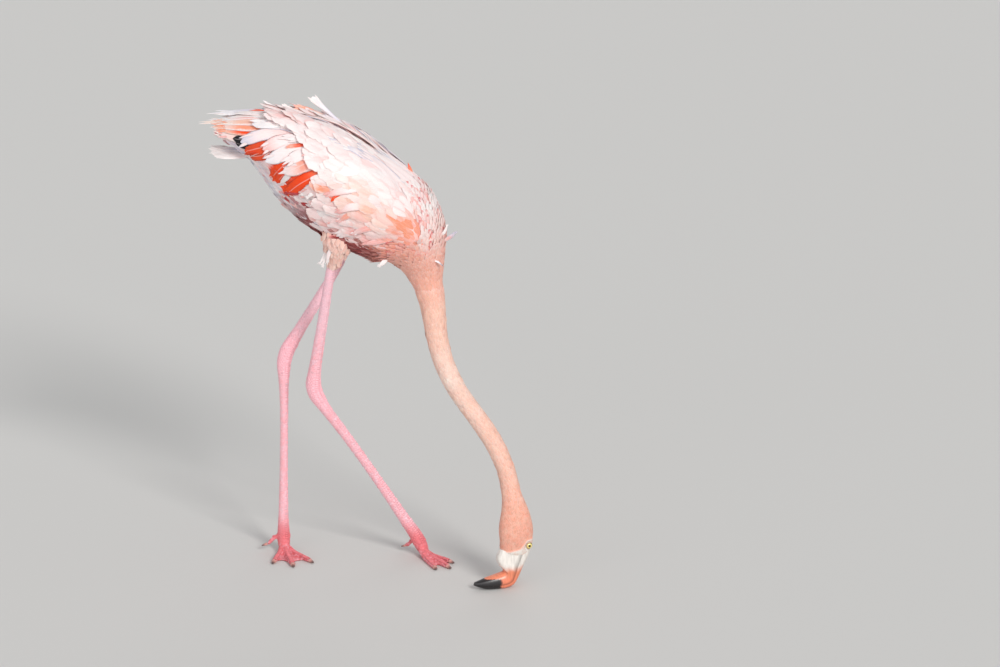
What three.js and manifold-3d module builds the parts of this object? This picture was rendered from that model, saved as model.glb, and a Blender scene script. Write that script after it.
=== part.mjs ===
// An American flamingo (Phoenicopterus ruber), life size, wading and feeding with its head down.
// Millimetres. +X is the way the bird faces, +Y its left side, +Z up, and the soles stand on Z = 0.
import * as THREE from "three";
import { mergeVertices } from "three/addons/utils/BufferGeometryUtils.js";
import Module from "manifold-3d";

const wasm = await Module();
wasm.setup();

// ---- driving dimensions ----

const seam = 0.4; // gap between two pieces that meet
const floorGap = 0.7; // how far the webs stay above the floor
const bodySides = 18; // facets round the trunk, neck and head
const legSides = 8;

// Rump, trunk, neck and head are one body: middle of the section, then its half-width, height above
// the middle and depth below it. "Above" is the bird's upper side: back, nape, crown. Roll, in
// degrees, turns a section's upper side towards the bird's left.
const bodyLine = [
  { x: -74, y: 0, z: 707, side: 18, up: 11, down: 13 },
  { x: -28, y: 0, z: 692, side: 40, up: 33, down: 34 },
  { x: 33, y: 0, z: 665, side: 67, up: 58, down: 71 },
  { x: 96, y: 0, z: 634, side: 84, up: 77, down: 88 },
  { x: 157, y: 0, z: 601, side: 87, up: 79, down: 88 },
  { x: 198, y: 0, z: 569, side: 79, up: 73, down: 77 },
  { x: 221, y: 0, z: 543, side: 61, up: 55, down: 64 },
  { x: 233, y: -1, z: 513, side: 42, up: 35, down: 47 },
  { x: 239, y: -4, z: 480, side: 28, up: 26, down: 29 },
  { x: 247, y: -9, z: 444, side: 20.5, up: 21, down: 21 },
  { x: 255, y: -17, z: 393, side: 17.5, up: 17.5, down: 17.5 },
  { x: 269, y: -26, z: 347, side: 16.5, up: 16.5, down: 16.5 },
  { x: 294, y: -36, z: 304, side: 15.5, up: 15.5, down: 15.5 },
  { x: 323, y: -46, z: 269, side: 15.5, up: 15.5, down: 15.5 },
  { x: 352, y: -56, z: 231, side: 15.5, up: 15.5, down: 15.5 },
  { x: 373, y: -66, z: 190, side: 14.5, up: 15, down: 15 },
  { x: 384, y: -75, z: 149, side: 15.5, up: 16.5, down: 16.5, roll: 8 },
  { x: 390, y: -81, z: 122, side: 19, up: 23, down: 23, roll: 20 },
  { x: 392, y: -84, z: 99, side: 20.5, up: 28, down: 28.5, roll: 28 },
  { x: 392.5, y: -84.5, z: 77, side: 19.5, up: 27.5, down: 27.5, roll: 28 },
  { x: 389.5, y: -86, z: 59, side: 16, up: 24.5, down: 25, roll: 28 },
];
const bodyRings = 40;
const bodyCaps = { start: 12, end: 8 };
// Where the body line is parted, as a share of the way from one station to the next.
const neckCuts = [8.5, 10.2, 11.9, 13.5, 15.1, 16.3];

// The bill along its culmen, bent down at half its length: how far a point of the culmen is out from
// the head's axis towards the crown, its height, the way from there to the gape as an angle from
// outwards, the depth of each mandible, and the half-width.
const headAxis = { x: 391, y: -85, roll: 28 };
const billLine = [
  { out: 27, z: 68, gape: 154, upper: 15, lower: 24, side: 13 },
  { out: 19.5, z: 49, gape: 154, upper: 15, lower: 32, side: 13.5 },
  { out: 10.5, z: 31, gape: 155, upper: 12.5, lower: 30.5, side: 13 },
  { out: 4.5, z: 17, gape: 148, upper: 11, lower: 25, side: 12.5 },
  { out: -3, z: 5, gape: 124, upper: 10, lower: 20.5, side: 12.5 },
  { out: -15, z: 0, gape: 100, upper: 9, lower: 18, side: 12.5 },
  { out: -31, z: -0.5, gape: 90, upper: 8, lower: 15.5, side: 12 },
  { out: -47, z: 0.6, gape: 86, upper: 7, lower: 12, side: 10 },
  { out: -60, z: 4, gape: 78, upper: 5, lower: 7.5, side: 7 },
  { out: -69, z: 8, gape: 66, upper: 3, lower: 3.5, side: 4 },
];
const billRings = 11;
const billArc = 6; // facets round one mandible

const eye = { out: 18.8, z: 69.7, fromMidline: 10, radius: 6.3 };

// A folded wing lies over the trunk as a shell: middle of the section, outer half-width and heights,
// and the angles, from the back's midline round the side, that it covers.
const wingLine = [
  { x: -121, z: 727, side: 15, up: 8, down: 12, from: 8, to: 100 },
  { x: -95, z: 719, side: 30, up: 22, down: 26, from: 4, to: 100 },
  { x: -55, z: 709, side: 48, up: 42, down: 44, from: 3, to: 108 },
  { x: -10, z: 694, side: 66, up: 63, down: 62, from: 4, to: 112 },
  { x: 40, z: 673, side: 83, up: 82, down: 80, from: 8, to: 112 },
  { x: 90, z: 650, side: 95, up: 86, down: 90, from: 15, to: 116 },
  { x: 140, z: 621, side: 97, up: 82, down: 94, from: 24, to: 120 },
  { x: 185, z: 591, side: 91, up: 76, down: 90, from: 36, to: 120 },
  { x: 213, z: 566, side: 77, up: 64, down: 76, from: 46, to: 112 },
  { x: 230, z: 551, side: 63, up: 50, down: 58, from: 62, to: 98 },
];
const wingRings = 14;
const wingArc = 7; // facets from the wing's upper edge to its lower one
const wingThickness = { front: 24, rear: 7 }; // the front reaches into the trunk, which trims it
const wingEdgeLift = 9; // how much lower a wing's edges lie than its middle
const tertialCut = 2.6; // where the long tertials begin, in stations from the wing's tip
const tertialLift = { left: 9, right: 0 }; // the wind has raised the left wing's tip

// Folded primaries of the left wing, from under the coverts to the tip, as a narrow blade on edge.
const primaryLine = [
  { x: -12, y: 51, z: 683, side: 2.2, up: 10, down: 10 },
  { x: -36, y: 41, z: 692, side: 2.2, up: 10, down: 10 },
  { x: -60, y: 27, z: 701, side: 2, up: 8, down: 8 },
  { x: -82, y: 14, z: 708, side: 1.4, up: 3.5, down: 3 },
];

const tailLine = [
  { x: -48, y: 0, z: 680, side: 22, up: 9, down: 9 },
  { x: -75, y: 0, z: 682, side: 29, up: 4.5, down: 5 },
  { x: -98, y: 0, z: 683, side: 31, up: 2.6, down: 3 },
  { x: -115, y: 0, z: 683, side: 24, up: 1.4, down: 1.4 },
];

// Scapulars that the wind has lifted off the back, from root to tip.
const loosePlumes = [
  [
    { x: 128, y: 22, z: 702, side: 1.6, up: 3, down: 3 },
    { x: 98, y: 24, z: 726, side: 1.6, up: 4.5, down: 4.5 },
    { x: 70, y: 25, z: 750, side: 1.4, up: 4.5, down: 4 },
    { x: 47, y: 25, z: 769, side: 1, up: 2.5, down: 2 },
  ],
  [
    { x: 66, y: 20, z: 733, side: 1.8, up: 6, down: 6 },
    { x: 44, y: 20, z: 745, side: 1.6, up: 5, down: 5 },
    { x: 22, y: 20, z: 755, side: 1.2, up: 2.5, down: 2.5 },
  ],
  [
    { x: 24, y: 19, z: 735, side: 1.8, up: 7, down: 7 },
    { x: 0, y: 20, z: 745, side: 1.6, up: 6, down: 6 },
    { x: -25, y: 20, z: 752, side: 1.2, up: 2.5, down: 2.5 },
  ],
];

// Each leg from the knee, which lies in the body, down to the root of the toes.
const rightLeg = [
  { x: 100, y: -40, z: 576, side: 9, up: 9, down: 9 },
  { x: 91, y: -34, z: 528, side: 7, up: 7.2, down: 7.2 },
  { x: 79.5, y: -28, z: 459, side: 6.5, up: 7.4, down: 7.4 },
  { x: 68, y: -22, z: 390, side: 6.6, up: 7.8, down: 7.8 },
  { x: 57, y: -15, z: 323, side: 8.6, up: 9.4, down: 9.6 },
  { x: 54, y: -11, z: 291, side: 10.4, up: 12, down: 13 },
  { x: 72, y: -5, z: 258, side: 8, up: 8.8, down: 8.8 },
  { x: 108, y: 6, z: 204, side: 5.8, up: 7.4, down: 7.4 },
  { x: 157, y: 20, z: 126, side: 5.8, up: 7.2, down: 7.2 },
  { x: 195, y: 31, z: 63, side: 7.2, up: 8.6, down: 8.6 },
  { x: 212, y: 36, z: 36, side: 9.5, up: 10, down: 10.5 },
  { x: 220, y: 38, z: 19, side: 11, up: 11, down: 11 },
];
const leftLeg = [
  { x: 134, y: 44, z: 572, side: 9, up: 9, down: 9 },
  { x: 97, y: 42.5, z: 505, side: 7, up: 7.2, down: 7.2 },
  { x: 72.5, y: 41, z: 458, side: 6.6, up: 7.4, down: 7.4 },
  { x: 47, y: 39, z: 414, side: 6.6, up: 7.8, down: 7.8 },
  { x: 20.5, y: 37, z: 368, side: 8.2, up: 9, down: 9.2 },
  { x: 0, y: 35, z: 330, side: 10.2, up: 11.6, down: 12.4 },
  { x: -1.5, y: 34, z: 288, side: 7.6, up: 7.8, down: 7.8 },
  { x: -1, y: 32, z: 235, side: 5.6, up: 6.2, down: 6.2 },
  { x: -2, y: 30, z: 140, side: 5.8, up: 6.2, down: 6.2 },
  { x: -3, y: 29, z: 60, side: 7, up: 7.8, down: 7.8 },
  { x: -3, y: 28.5, z: 34, side: 9, up: 9.5, down: 9.5 },
  { x: -2.5, y: 28, z: 19, side: 11, up: 11, down: 11 },
];
const legRings = 21;
const legCuts = [4.2, 5.75]; // above and below the ankle, in stations from the knee
const footPad = 20; // how far the pad under the toes' root reaches below the last station
const toeRoot = 5; // how far below the last station the toes begin
const thighs = {
  right: [
    { x: 112, y: -44, z: 612, side: 34, up: 40, down: 44 },
    { x: 103, y: -42, z: 562, side: 27, up: 33, down: 33 },
    { x: 96, y: -37, z: 534, side: 19, up: 21, down: 22 },
    { x: 91, y: -33.5, z: 512, side: 10.5, up: 11.5, down: 11.5 },
  ],
  left: [
    { x: 156, y: 44, z: 612, side: 34, up: 38, down: 40 },
    { x: 129, y: 44, z: 565, side: 25, up: 27, down: 29 },
    { x: 113, y: 43, z: 537, side: 16, up: 17, down: 18 },
    { x: 102, y: 42.5, z: 517, side: 9.6, up: 10.4, down: 10.4 },
  ],
};

// Toes by how far they spread from the middle one, towards the bird's midline.
const toes = {
  inner: { spread: 26, length: 68, radius: 5 },
  middle: { spread: 0, length: 84, radius: 5.4 },
  outer: { spread: -26, length: 78, radius: 5 },
};
const toeRings = 7;
const toeSides = 6;
const toeEnd = 2.5; // how far a toe rounds off past its last station
const clawLength = 8;
const hindToe = { height: 27, length: 18, radius: 3.4, dip: 13 };
// A foot's heading is its middle toe's, and drop is the share of a toe that comes down to the floor.
const feet = {
  right: { root: rightLeg.at(-1), heading: -47, spreadScale: 0.62, hind: 160, drop: 0.5 },
  left: { root: leftLeg.at(-1), heading: -70, spreadScale: 1, hind: 190, drop: 0.45 },
};
const webReach = { inner: 0.84, outer: 0.86 };
const webDip = 0.16; // how far the web's front edge curves back between two toes
const webThickness = 1.7;

// ---- finishes ----

const finish = (color, roughness) => new THREE.MeshStandardMaterial({ color, roughness, metalness: 0 });
const finishes = {
  plumage: finish(0xf6c3bb, 0.85),
  neck: finish(0xf3a18b, 0.85),
  covert: finish(0xf4a493, 0.8),
  tertial: finish(0xf8d8d4, 0.8),
  flight: finish(0x17141a, 0.6),
  tail: finish(0xf3d3d0, 0.8),
  leg: finish(0xe99aa6, 0.55),
  foot: finish(0xe8606a, 0.6),
  claw: finish(0x6a4a4a, 0.45),
  billPale: finish(0xe8a48c, 0.35),
  eye: finish(0xe8cf55, 0.12),
};

// ---- shaping ----

const radians = THREE.MathUtils.degToRad;
const leftward = new THREE.Vector3(0, 1, 0);
const upward = [0, 0, 1];

// Rings of points, all of one length, joined into one closed surface with a fan over each end.
function closedSurface(rings) {
  const around = rings[0].length;
  const points = rings.flat();
  const faces = [];
  for (let i = 0; i + 1 < rings.length; i++)
    for (let j = 0; j < around; j++) {
      const a = i * around + j;
      const b = i * around + ((j + 1) % around);
      faces.push([a, b, a + around], [b, b + around, a + around]);
    }
  [0, rings.length - 1].forEach((i) => {
    const hub = points.length;
    const middle = new THREE.Vector3();
    rings[i].forEach((p) => middle.addScaledVector(p, 1 / around));
    points.push(middle);
    for (let j = 0; j < around; j++) {
      const a = i * around + j;
      const b = i * around + ((j + 1) % around);
      faces.push(i === 0 ? [b, a, hub] : [a, b, hub]);
    }
  });
  const volume = faces.reduce((sum, [a, b, c]) => {
    const normal = new THREE.Vector3().crossVectors(points[b], points[c]);
    return sum + points[a].dot(normal);
  }, 0);
  const outward = volume > 0 ? faces : faces.map(([a, b, c]) => [a, c, b]);
  return new THREE.BufferGeometry().setFromPoints(points).setIndex(outward.flat());
}

// A manifold solid from a closed geometry, and back.
function solidOf(geometry) {
  const bare = geometry.clone();
  bare.deleteAttribute("normal");
  bare.deleteAttribute("uv");
  const merged = mergeVertices(bare, 1e-4);
  return new wasm.Manifold(
    new wasm.Mesh({
      numProp: 3,
      vertProperties: new Float32Array(merged.attributes.position.array),
      triVerts: new Uint32Array(merged.index.array),
    }),
  );
}

function geometryOf(solid) {
  const mesh = solid.getMesh();
  const geometry = new THREE.BufferGeometry();
  geometry.setAttribute("position", new THREE.BufferAttribute(mesh.vertProperties, 3));
  geometry.setIndex(new THREE.BufferAttribute(mesh.triVerts, 1));
  geometry.computeVertexNormals();
  return geometry;
}

// The largest body of a solid, so that no cut leaves a crumb behind.
const mainBody = (solid) =>
  solid.decompose().reduce((best, body) => (body.volume() > best.volume() ? body : best));

// A smooth line through stations: at(t) gives the middle, sizes and axes of the section, with t
// running from 0 at the first station to 1 at the last.
function sectionLine(stations, across = leftward) {
  const middles = new THREE.CatmullRomCurve3(stations.map((s) => new THREE.Vector3(s.x, s.y ?? 0, s.z)));
  const sizes = new THREE.CatmullRomCurve3(
    stations.map((s) => new THREE.Vector3(s.side, s.up, s.down)),
    false,
    "catmullrom",
    0.5,
  );
  const rollAt = (t) => {
    const place = t * (stations.length - 1);
    const before = Math.min(Math.floor(place), stations.length - 2);
    const [a, b] = [stations[before].roll ?? 0, stations[before + 1].roll ?? 0];
    return radians(THREE.MathUtils.lerp(a, b, place - before));
  };
  return (t) => {
    const middle = middles.getPoint(t);
    const ahead = middles.getTangent(t);
    const sideways = across.clone().addScaledVector(ahead, -across.dot(ahead)).normalize();
    sideways.applyAxisAngle(ahead, -rollAt(t));
    const above = new THREE.Vector3().crossVectors(ahead, sideways);
    const size = sizes.getPoint(t);
    return { middle, ahead, sideways, above, side: size.x, up: size.y, down: size.z };
  };
}

// Outlines of a section as pairs: how far sideways, how far above.
const oval = (sides) => (s) =>
  Array.from({ length: sides }, (_, j) => {
    const angle = (2 * Math.PI * j) / sides;
    const height = Math.sin(angle);
    return [s.side * Math.cos(angle), (height > 0 ? s.up : s.down) * height];
  });
const halfOval = (sides, upper) => (s) =>
  Array.from({ length: sides + 1 }, (_, j) => {
    const angle = (Math.PI * j) / sides;
    const height = Math.max(Math.sin(angle), 0);
    const turned = seam / 2 + (upper ? s.up : s.down) * height;
    return [s.side * Math.cos(angle), upper ? turned : -turned];
  });

// A body swept along stations. A cap's length rounds that end off; grow swells it all over.
function swept(stations, { across, rings, outline, caps = {}, grow = 0 }) {
  const at = sectionLine(stations, across);
  const ringOf = (section, shift, scale) =>
    outline(section).map(([sideways, above]) =>
      section.middle
        .clone()
        .addScaledVector(section.ahead, shift)
        .addScaledVector(section.sideways, sideways * scale)
        .addScaledVector(section.above, above * scale),
    );
  const grown = (t) => {
    const s = at(t);
    return { ...s, side: s.side + grow, up: s.up + grow, down: s.down + grow };
  };
  const cap = (t, length, way) =>
    [0.55, 0.9].map((share) =>
      ringOf(grown(t), way * (length + grow) * share, Math.sqrt(1 - share * share)),
    );
  const between = Array.from({ length: rings + 1 }, (_, i) => ringOf(grown(i / rings), 0, 1));
  return closedSurface([
    ...(caps.start ? cap(0, caps.start, -1).reverse() : []),
    ...between,
    ...(caps.end ? cap(1, caps.end, 1) : []),
  ]);
}

// Parts a solid with planes square to its line, each cut one seam wide.
function parted(solid, stations, cuts, across) {
  const at = sectionLine(stations, across);
  const pieces = [];
  let rest = solid;
  cuts.forEach((cut) => {
    const { middle, ahead } = at(cut / (stations.length - 1));
    const offset = middle.dot(ahead);
    const normal = ahead.toArray();
    const behind = ahead.clone().negate().toArray();
    pieces.push(mainBody(rest.trimByPlane(behind, -(offset - seam / 2))));
    rest = mainBody(rest.trimByPlane(normal, offset + seam / 2));
  });
  return [...pieces, rest];
}

const flamingo = new THREE.Group();
function add(name, solid, material, group = flamingo) {
  const mesh = new THREE.Mesh(geometryOf(mainBody(solid)), material);
  mesh.name = name;
  group.add(mesh);
}

// ---- trunk, neck and head ----

const bodyShape = { rings: bodyRings, outline: oval(bodySides), caps: bodyCaps };
const body = solidOf(swept(bodyLine, bodyShape));
const bodyClear = solidOf(swept(bodyLine, { ...bodyShape, grow: seam }));
const [trunk, ...neckAndHead] = parted(body, bodyLine, neckCuts);
const wholeHead = neckAndHead.pop();

// A place by its distance from the head's axis towards the crown and towards the bird's left.
const headRoll = radians(headAxis.roll);
const headLeft = new THREE.Vector3(-Math.sin(headRoll), Math.cos(headRoll), 0);
const inHead = (out, left, z) =>
  new THREE.Vector3(
    headAxis.x + out * Math.cos(headRoll) + left * headLeft.x,
    headAxis.y + out * Math.sin(headRoll) + left * headLeft.y,
    z,
  );

const eyeball = (left, grow) => {
  const ball = new THREE.SphereGeometry(eye.radius + grow, 12, 6);
  const centre = inHead(eye.out, left * eye.fromMidline, eye.z);
  return solidOf(ball.rotateX(Math.PI / 2).translate(centre.x, centre.y, centre.z));
};
const eyes = { left: eyeball(1, 0), right: eyeball(-1, 0) };
const head = wholeHead.subtract(eyeball(1, seam)).subtract(eyeball(-1, seam));

// ---- bill ----

function mandible(upper) {
  const gapeLine = billLine.map((s) => {
    const away = radians(s.gape);
    const place = inHead(s.out + s.upper * Math.cos(away), 0, s.z + s.upper * Math.sin(away));
    return { x: place.x, y: place.y, z: place.z, side: s.side, up: s.upper, down: s.lower };
  });
  const shape = { across: headLeft, rings: billRings, outline: halfOval(billArc, upper) };
  const whole = solidOf(swept(gapeLine, { ...shape, caps: { end: 4 } }));
  return whole.subtract(bodyClear).trimByPlane(upward, 0);
}

// ---- wings and tail ----

function wing(name, left, grow = 0) {
  const lift = (i) => tertialLift[name] * (1 - THREE.MathUtils.smoothstep(i, 0, tertialCut + 1));
  const at = sectionLine(wingLine.map((s, i) => ({ ...s, z: s.z + lift(i) })));
  const limits = new THREE.CatmullRomCurve3(
    wingLine.map((s) => new THREE.Vector3(s.from, s.to, 0)),
    false,
    "catmullrom",
    0.5,
  );
  const rings = Array.from({ length: wingRings + 1 }, (_, i) => {
    const t = i / wingRings;
    const section = at(t);
    const limit = limits.getPoint(t);
    const forward = THREE.MathUtils.smoothstep(t, 0.15, 0.45);
    const thickness = THREE.MathUtils.lerp(wingThickness.rear, wingThickness.front, forward);
    const point = (j, inset) => {
      const share = j / wingArc;
      const angle = radians(THREE.MathUtils.lerp(limit.x - 2 * grow, limit.y + 2 * grow, share));
      const lowered = inset + wingEdgeLift * forward * Math.abs(2 * share - 1) ** 3;
      const height = Math.cos(angle) > 0 ? section.up : section.down;
      return section.middle
        .clone()
        .addScaledVector(section.sideways, left * (section.side - lowered) * Math.sin(angle))
        .addScaledVector(section.above, (height - lowered) * Math.cos(angle));
    };
    const outer = Array.from({ length: wingArc + 1 }, (_, j) => point(j, -grow));
    const inner = Array.from({ length: wingArc + 1 }, (_, j) => point(wingArc - j, thickness + grow));
    return [...outer, ...inner];
  });
  return solidOf(closedSurface(rings)).subtract(bodyClear);
}

const mirrored = (stations, left) => stations.map((s) => ({ ...s, y: (s.y ?? 0) * left }));

function primaries(left, wings) {
  const blade = swept(mirrored(primaryLine, left), { rings: 5, outline: oval(6), caps: { end: 4 } });
  return solidOf(blade).subtract(bodyClear).subtract(wings);
}

// ---- legs and feet ----

function leg(name, stations, thighStations, left) {
  const group = new THREE.Group();
  flamingo.add(group);
  const shape = { rings: legRings, outline: oval(legSides), caps: { start: 6, end: footPad } };
  const limb = solidOf(swept(stations, shape));
  const thighShape = { rings: 6, outline: oval(12), caps: { end: 5 } };
  const thigh = solidOf(swept(thighStations, thighShape)).subtract(bodyClear);
  const thighClear = solidOf(swept(thighStations, { ...thighShape, grow: seam }));
  const [shin, ankle, shank] = parted(limb, stations, legCuts);
  add(`thigh_${name}`, thigh.subtract(wingClear[name]), finishes.plumage, group);
  add(`tibia_${name}`, shin.subtract(thighClear).subtract(bodyClear), finishes.leg, group);
  add(`ankle_${name}`, ankle, finishes.leg, group);
  add(`tarsus_${name}`, shank.trimByPlane(upward, 0), finishes.leg, group);
  const shankClear = solidOf(swept(stations, { ...shape, grow: seam }));
  foot(name, feet[name], shankClear, left, group);
}

// The middle line of a front toe: out of the joint, down to the floor and along it.
function toeStations(joint, heading, drop, toe, grow = 0) {
  const flat = toe.radius * 0.7;
  return [0, 0.2, 0.4, 0.6, 0.8, 1].map((share) => {
    const remaining = 1 - Math.min(share / drop, 1);
    const taper = 1.2 - 0.52 * share;
    const along = share * (toe.length - clawLength - toeEnd);
    return {
      x: joint.x + along * Math.cos(heading),
      y: joint.y + along * Math.sin(heading),
      z: flat + (joint.z - flat) * remaining ** 1.6,
      side: toe.radius * taper * 1.08 + grow,
      up: toe.radius * taper * 0.85 + grow,
      down: toe.radius * taper + grow,
    };
  });
}

const sidewaysOf = (heading) => new THREE.Vector3(-Math.sin(heading), Math.cos(heading), 0);

function toeSolid(joint, heading, drop, toe, grow) {
  const shape = { rings: toeRings, outline: oval(toeSides), caps: { start: 4, end: toeEnd } };
  const stations = toeStations(joint, heading, drop, toe, grow);
  return solidOf(swept(stations, { ...shape, across: sidewaysOf(heading) }));
}

// A blunt nail on the end of a toe.
function clawSolid(tip, heading, radius, dip) {
  const stations = [0, 0.45, 1].map((share) => ({
    x: tip.x + (toeEnd + seam + clawLength * share) * Math.cos(heading),
    y: tip.y + (toeEnd + seam + clawLength * share) * Math.sin(heading),
    z: tip.z - dip * share,
    side: radius * (0.8 - 0.45 * share),
    up: radius * (0.66 - 0.4 * share),
    down: radius * (0.66 - 0.4 * share),
  }));
  const shape = { rings: 2, outline: oval(6), across: sidewaysOf(heading), caps: { end: 1 } };
  return solidOf(swept(stations, shape));
}

// A web between two toes: a thin sheet that follows both, with a hollow front edge.
function webSolid(first, second, reach) {
  const lines = [first, second].map(
    (stations) => new THREE.CatmullRomCurve3(stations.map((s) => new THREE.Vector3(s.x, s.y, s.z))),
  );
  const rows = 5;
  const across = 3;
  const top = (row, column) => {
    const share = column / across;
    const hollow = 1 - webDip * Math.sin(Math.PI * share);
    const t = 0.12 + (reach * hollow - 0.12) * (row / rows);
    const [a, b] = lines.map((line) => line.getPoint(t));
    const middle = a.lerp(b, share);
    return middle.setZ(Math.max(middle.z - 1.2, floorGap + webThickness));
  };
  const rings = Array.from({ length: rows + 1 }, (_, row) => {
    const upper = Array.from({ length: across + 1 }, (_, column) => top(row, column));
    const lower = upper.map((p) => p.clone().setZ(p.z - webThickness)).reverse();
    return [...upper, ...lower];
  });
  return solidOf(closedSurface(rings));
}

function foot(name, shape, shankClear, left, group) {
  const { root, heading, spreadScale, drop } = shape;
  const joint = new THREE.Vector3(root.x, root.y, root.z - toeRoot);
  const headings = {};
  let taken = shankClear;
  ["middle", "inner", "outer"].forEach((which) => {
    const toe = toes[which];
    headings[which] = radians(heading - left * toe.spread * spreadScale);
    const clear = toeSolid(joint, headings[which], drop, toe, seam);
    const whole = toeSolid(joint, headings[which], drop, toe, 0);
    const solid = whole.trimByPlane(upward, 0).subtract(taken);
    taken = taken.add(clear);
    add(`toe_${which}_${name}`, solid, finishes.foot, group);
    const tip = toeStations(joint, headings[which], drop, toe).at(-1);
    const claw = clawSolid(tip, headings[which], toe.radius, 1);
    add(`claw_${which}_${name}`, claw, finishes.claw, group);
  });
  ["inner", "outer"].forEach((which) => {
    const line = (toe) => toeStations(joint, headings[toe], drop, toes[toe]);
    const web = webSolid(line("middle"), line(which), webReach[which]);
    add(`web_${which}_${name}`, web.subtract(taken), finishes.foot, group);
  });
  const back = radians(shape.hind);
  const hind = [0, 0.5, 1].map((share) => ({
    x: joint.x + (6 + hindToe.length * share) * Math.cos(back),
    y: joint.y + (6 + hindToe.length * share) * Math.sin(back),
    z: hindToe.height - hindToe.dip * share * share,
    side: hindToe.radius * (1.1 - 0.35 * share),
    up: hindToe.radius * (1.1 - 0.35 * share),
    down: hindToe.radius * (1.1 - 0.35 * share),
  }));
  const hindShape = { rings: 4, outline: oval(6), across: sidewaysOf(back), caps: { end: toeEnd } };
  add(`toe_hind_${name}`, solidOf(swept(hind, hindShape)).subtract(taken), finishes.foot, group);
  const nail = clawSolid({ ...hind.at(-1), z: hind.at(-1).z - 1 }, back, hindToe.radius, 3);
  add(`claw_hind_${name}`, nail, finishes.claw, group);
}

// ---- assembly ----

add("trunk", trunk, finishes.plumage);
neckAndHead.forEach((solid, i) => add(`neck_${i + 1}`, solid, finishes.neck));
add("head", head, finishes.neck);
add("eye_left", eyes.left, finishes.eye);
add("eye_right", eyes.right, finishes.eye);
add("bill_upper", mandible(true), finishes.billPale);
add("bill_lower", mandible(false), finishes.billPale);

const wingClear = {};
Object.entries({ left: 1, right: -1 }).forEach(([name, left]) => {
  const [tertials, arm] = parted(wing(name, left), wingLine, [tertialCut]);
  wingClear[name] = wing(name, left, seam);
  add(`wing_${name}`, arm, finishes.covert);
  add(`tertials_${name}`, tertials, finishes.tertial);
  add(`primaries_${name}`, primaries(left, wingClear[name]), finishes.flight);
});
const tailShape = { rings: 6, outline: oval(10), caps: { end: 5 } };
add("tail", solidOf(swept(tailLine, tailShape)).subtract(bodyClear), finishes.tail);
loosePlumes.forEach((stations, i) => {
  const plume = solidOf(swept(stations, { rings: 5, outline: oval(6), caps: { end: 3 } }));
  const bare = plume.subtract(bodyClear).subtract(wingClear.left);
  add(`loose_plume_${i + 1}`, bare, finishes.tertial);
});

leg("right", rightLeg, thighs.right, -1);
leg("left", leftLeg, thighs.left, 1);

// The row's origin is the middle of the bird's box, on the floor.
const box = new THREE.Box3().setFromObject(flamingo);
const centre = box.getCenter(new THREE.Vector3());
flamingo.position.set(-centre.x, -centre.y, -box.min.z);

export default flamingo;
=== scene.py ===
# A life-size American flamingo (Phoenicopterus ruber), wading and feeding with its head down.
# Metres. +X is the way the bird faces, +Y its left side, and it stands on Z = 0.
import math
import random

import bmesh
import bpy
import numpy as np
from mathutils import Matrix, Vector, noise
from mathutils.bvhtree import BVHTree
from mathutils.kdtree import KDTree


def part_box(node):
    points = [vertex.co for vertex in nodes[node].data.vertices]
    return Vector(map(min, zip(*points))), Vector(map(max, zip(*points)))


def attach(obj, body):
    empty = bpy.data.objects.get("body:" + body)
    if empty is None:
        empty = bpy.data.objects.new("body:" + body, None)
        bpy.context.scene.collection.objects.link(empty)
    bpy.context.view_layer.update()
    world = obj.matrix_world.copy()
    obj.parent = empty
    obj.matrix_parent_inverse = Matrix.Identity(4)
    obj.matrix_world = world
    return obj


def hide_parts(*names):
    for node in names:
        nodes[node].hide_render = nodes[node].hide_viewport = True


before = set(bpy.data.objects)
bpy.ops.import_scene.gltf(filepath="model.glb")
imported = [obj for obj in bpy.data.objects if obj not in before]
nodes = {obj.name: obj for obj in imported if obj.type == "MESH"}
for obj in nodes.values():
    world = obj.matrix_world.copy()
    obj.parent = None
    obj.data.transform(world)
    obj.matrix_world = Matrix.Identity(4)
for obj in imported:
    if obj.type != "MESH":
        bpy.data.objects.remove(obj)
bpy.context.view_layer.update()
rng = np.random.default_rng(31)


# A colour as it looks on screen, 0 to 255, to the linear one that the shaders use.
def tone(r, g, b):
    c = np.array([r, g, b]) / 255
    return np.where(c <= 0.04045, c / 12.92, ((c + 0.055) / 1.055) ** 2.4)


tones = {
    "neck": tone(252, 190, 166),
    "neckPale": tone(255, 226, 212),
    "headOrange": tone(250, 166, 140),
    "breast": tone(255, 184, 166),
    "mantle": tone(254, 230, 227),
    "blush": tone(252, 184, 178),
    "red": tone(228, 92, 98),
    "white": tone(255, 244, 241),
    "palePink": tone(255, 233, 231),
    "orange": tone(255, 76, 24),
    "orangeSoft": tone(255, 158, 126),
    # orange darkened with painted shade, for the rearmost orange feathers
    "orangeDeep": tone(226, 78, 42),
    "peach": tone(255, 192, 168),
    "wrist": tone(255, 164, 142),
    # lilac-grey: partly the feathers' own tint, partly painted shade on white feathers
    "lilac": tone(214, 207, 222),
    "greyWhite": tone(242, 236, 240),
    "darkRed": tone(178, 58, 60),
    # painted shade: the underside's dark red stands in for the shadow under the body, over its own pink
    "belly": tone(152, 56, 54),
    "black": tone(26, 22, 27),
    "legPink": tone(250, 178, 186),
    "legPale": tone(240, 198, 208),
    "ankle": tone(255, 190, 200),
    "foot": tone(226, 104, 110),
    "ivory": tone(232, 225, 217),
    "billPink": tone(232, 138, 104),
    "billBlack": tone(30, 26, 28),
    "eyeRing": tone(226, 190, 170),
    "lidEdge": tone(110, 70, 62),
    "clawRoot": tone(214, 150, 140),
    "clawTip": tone(92, 66, 62),
}


def smooth(low, high, x):
    t = np.clip((np.asarray(x, float) - low) / (high - low), 0, 1)
    return t * t * (3 - 2 * t)


def mixed(a, b, t):
    t = np.asarray(t, float)[..., None]
    return a * (1 - t) + b * t


# Soft noise from 0 to 1 at points, with blobs of about the size given.
def cloud(points, size, shift=0.0):
    return np.array([0.5 + 0.6 * noise.noise(Vector(p) / size + Vector((shift, 0, shift))) for p in points])


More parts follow.
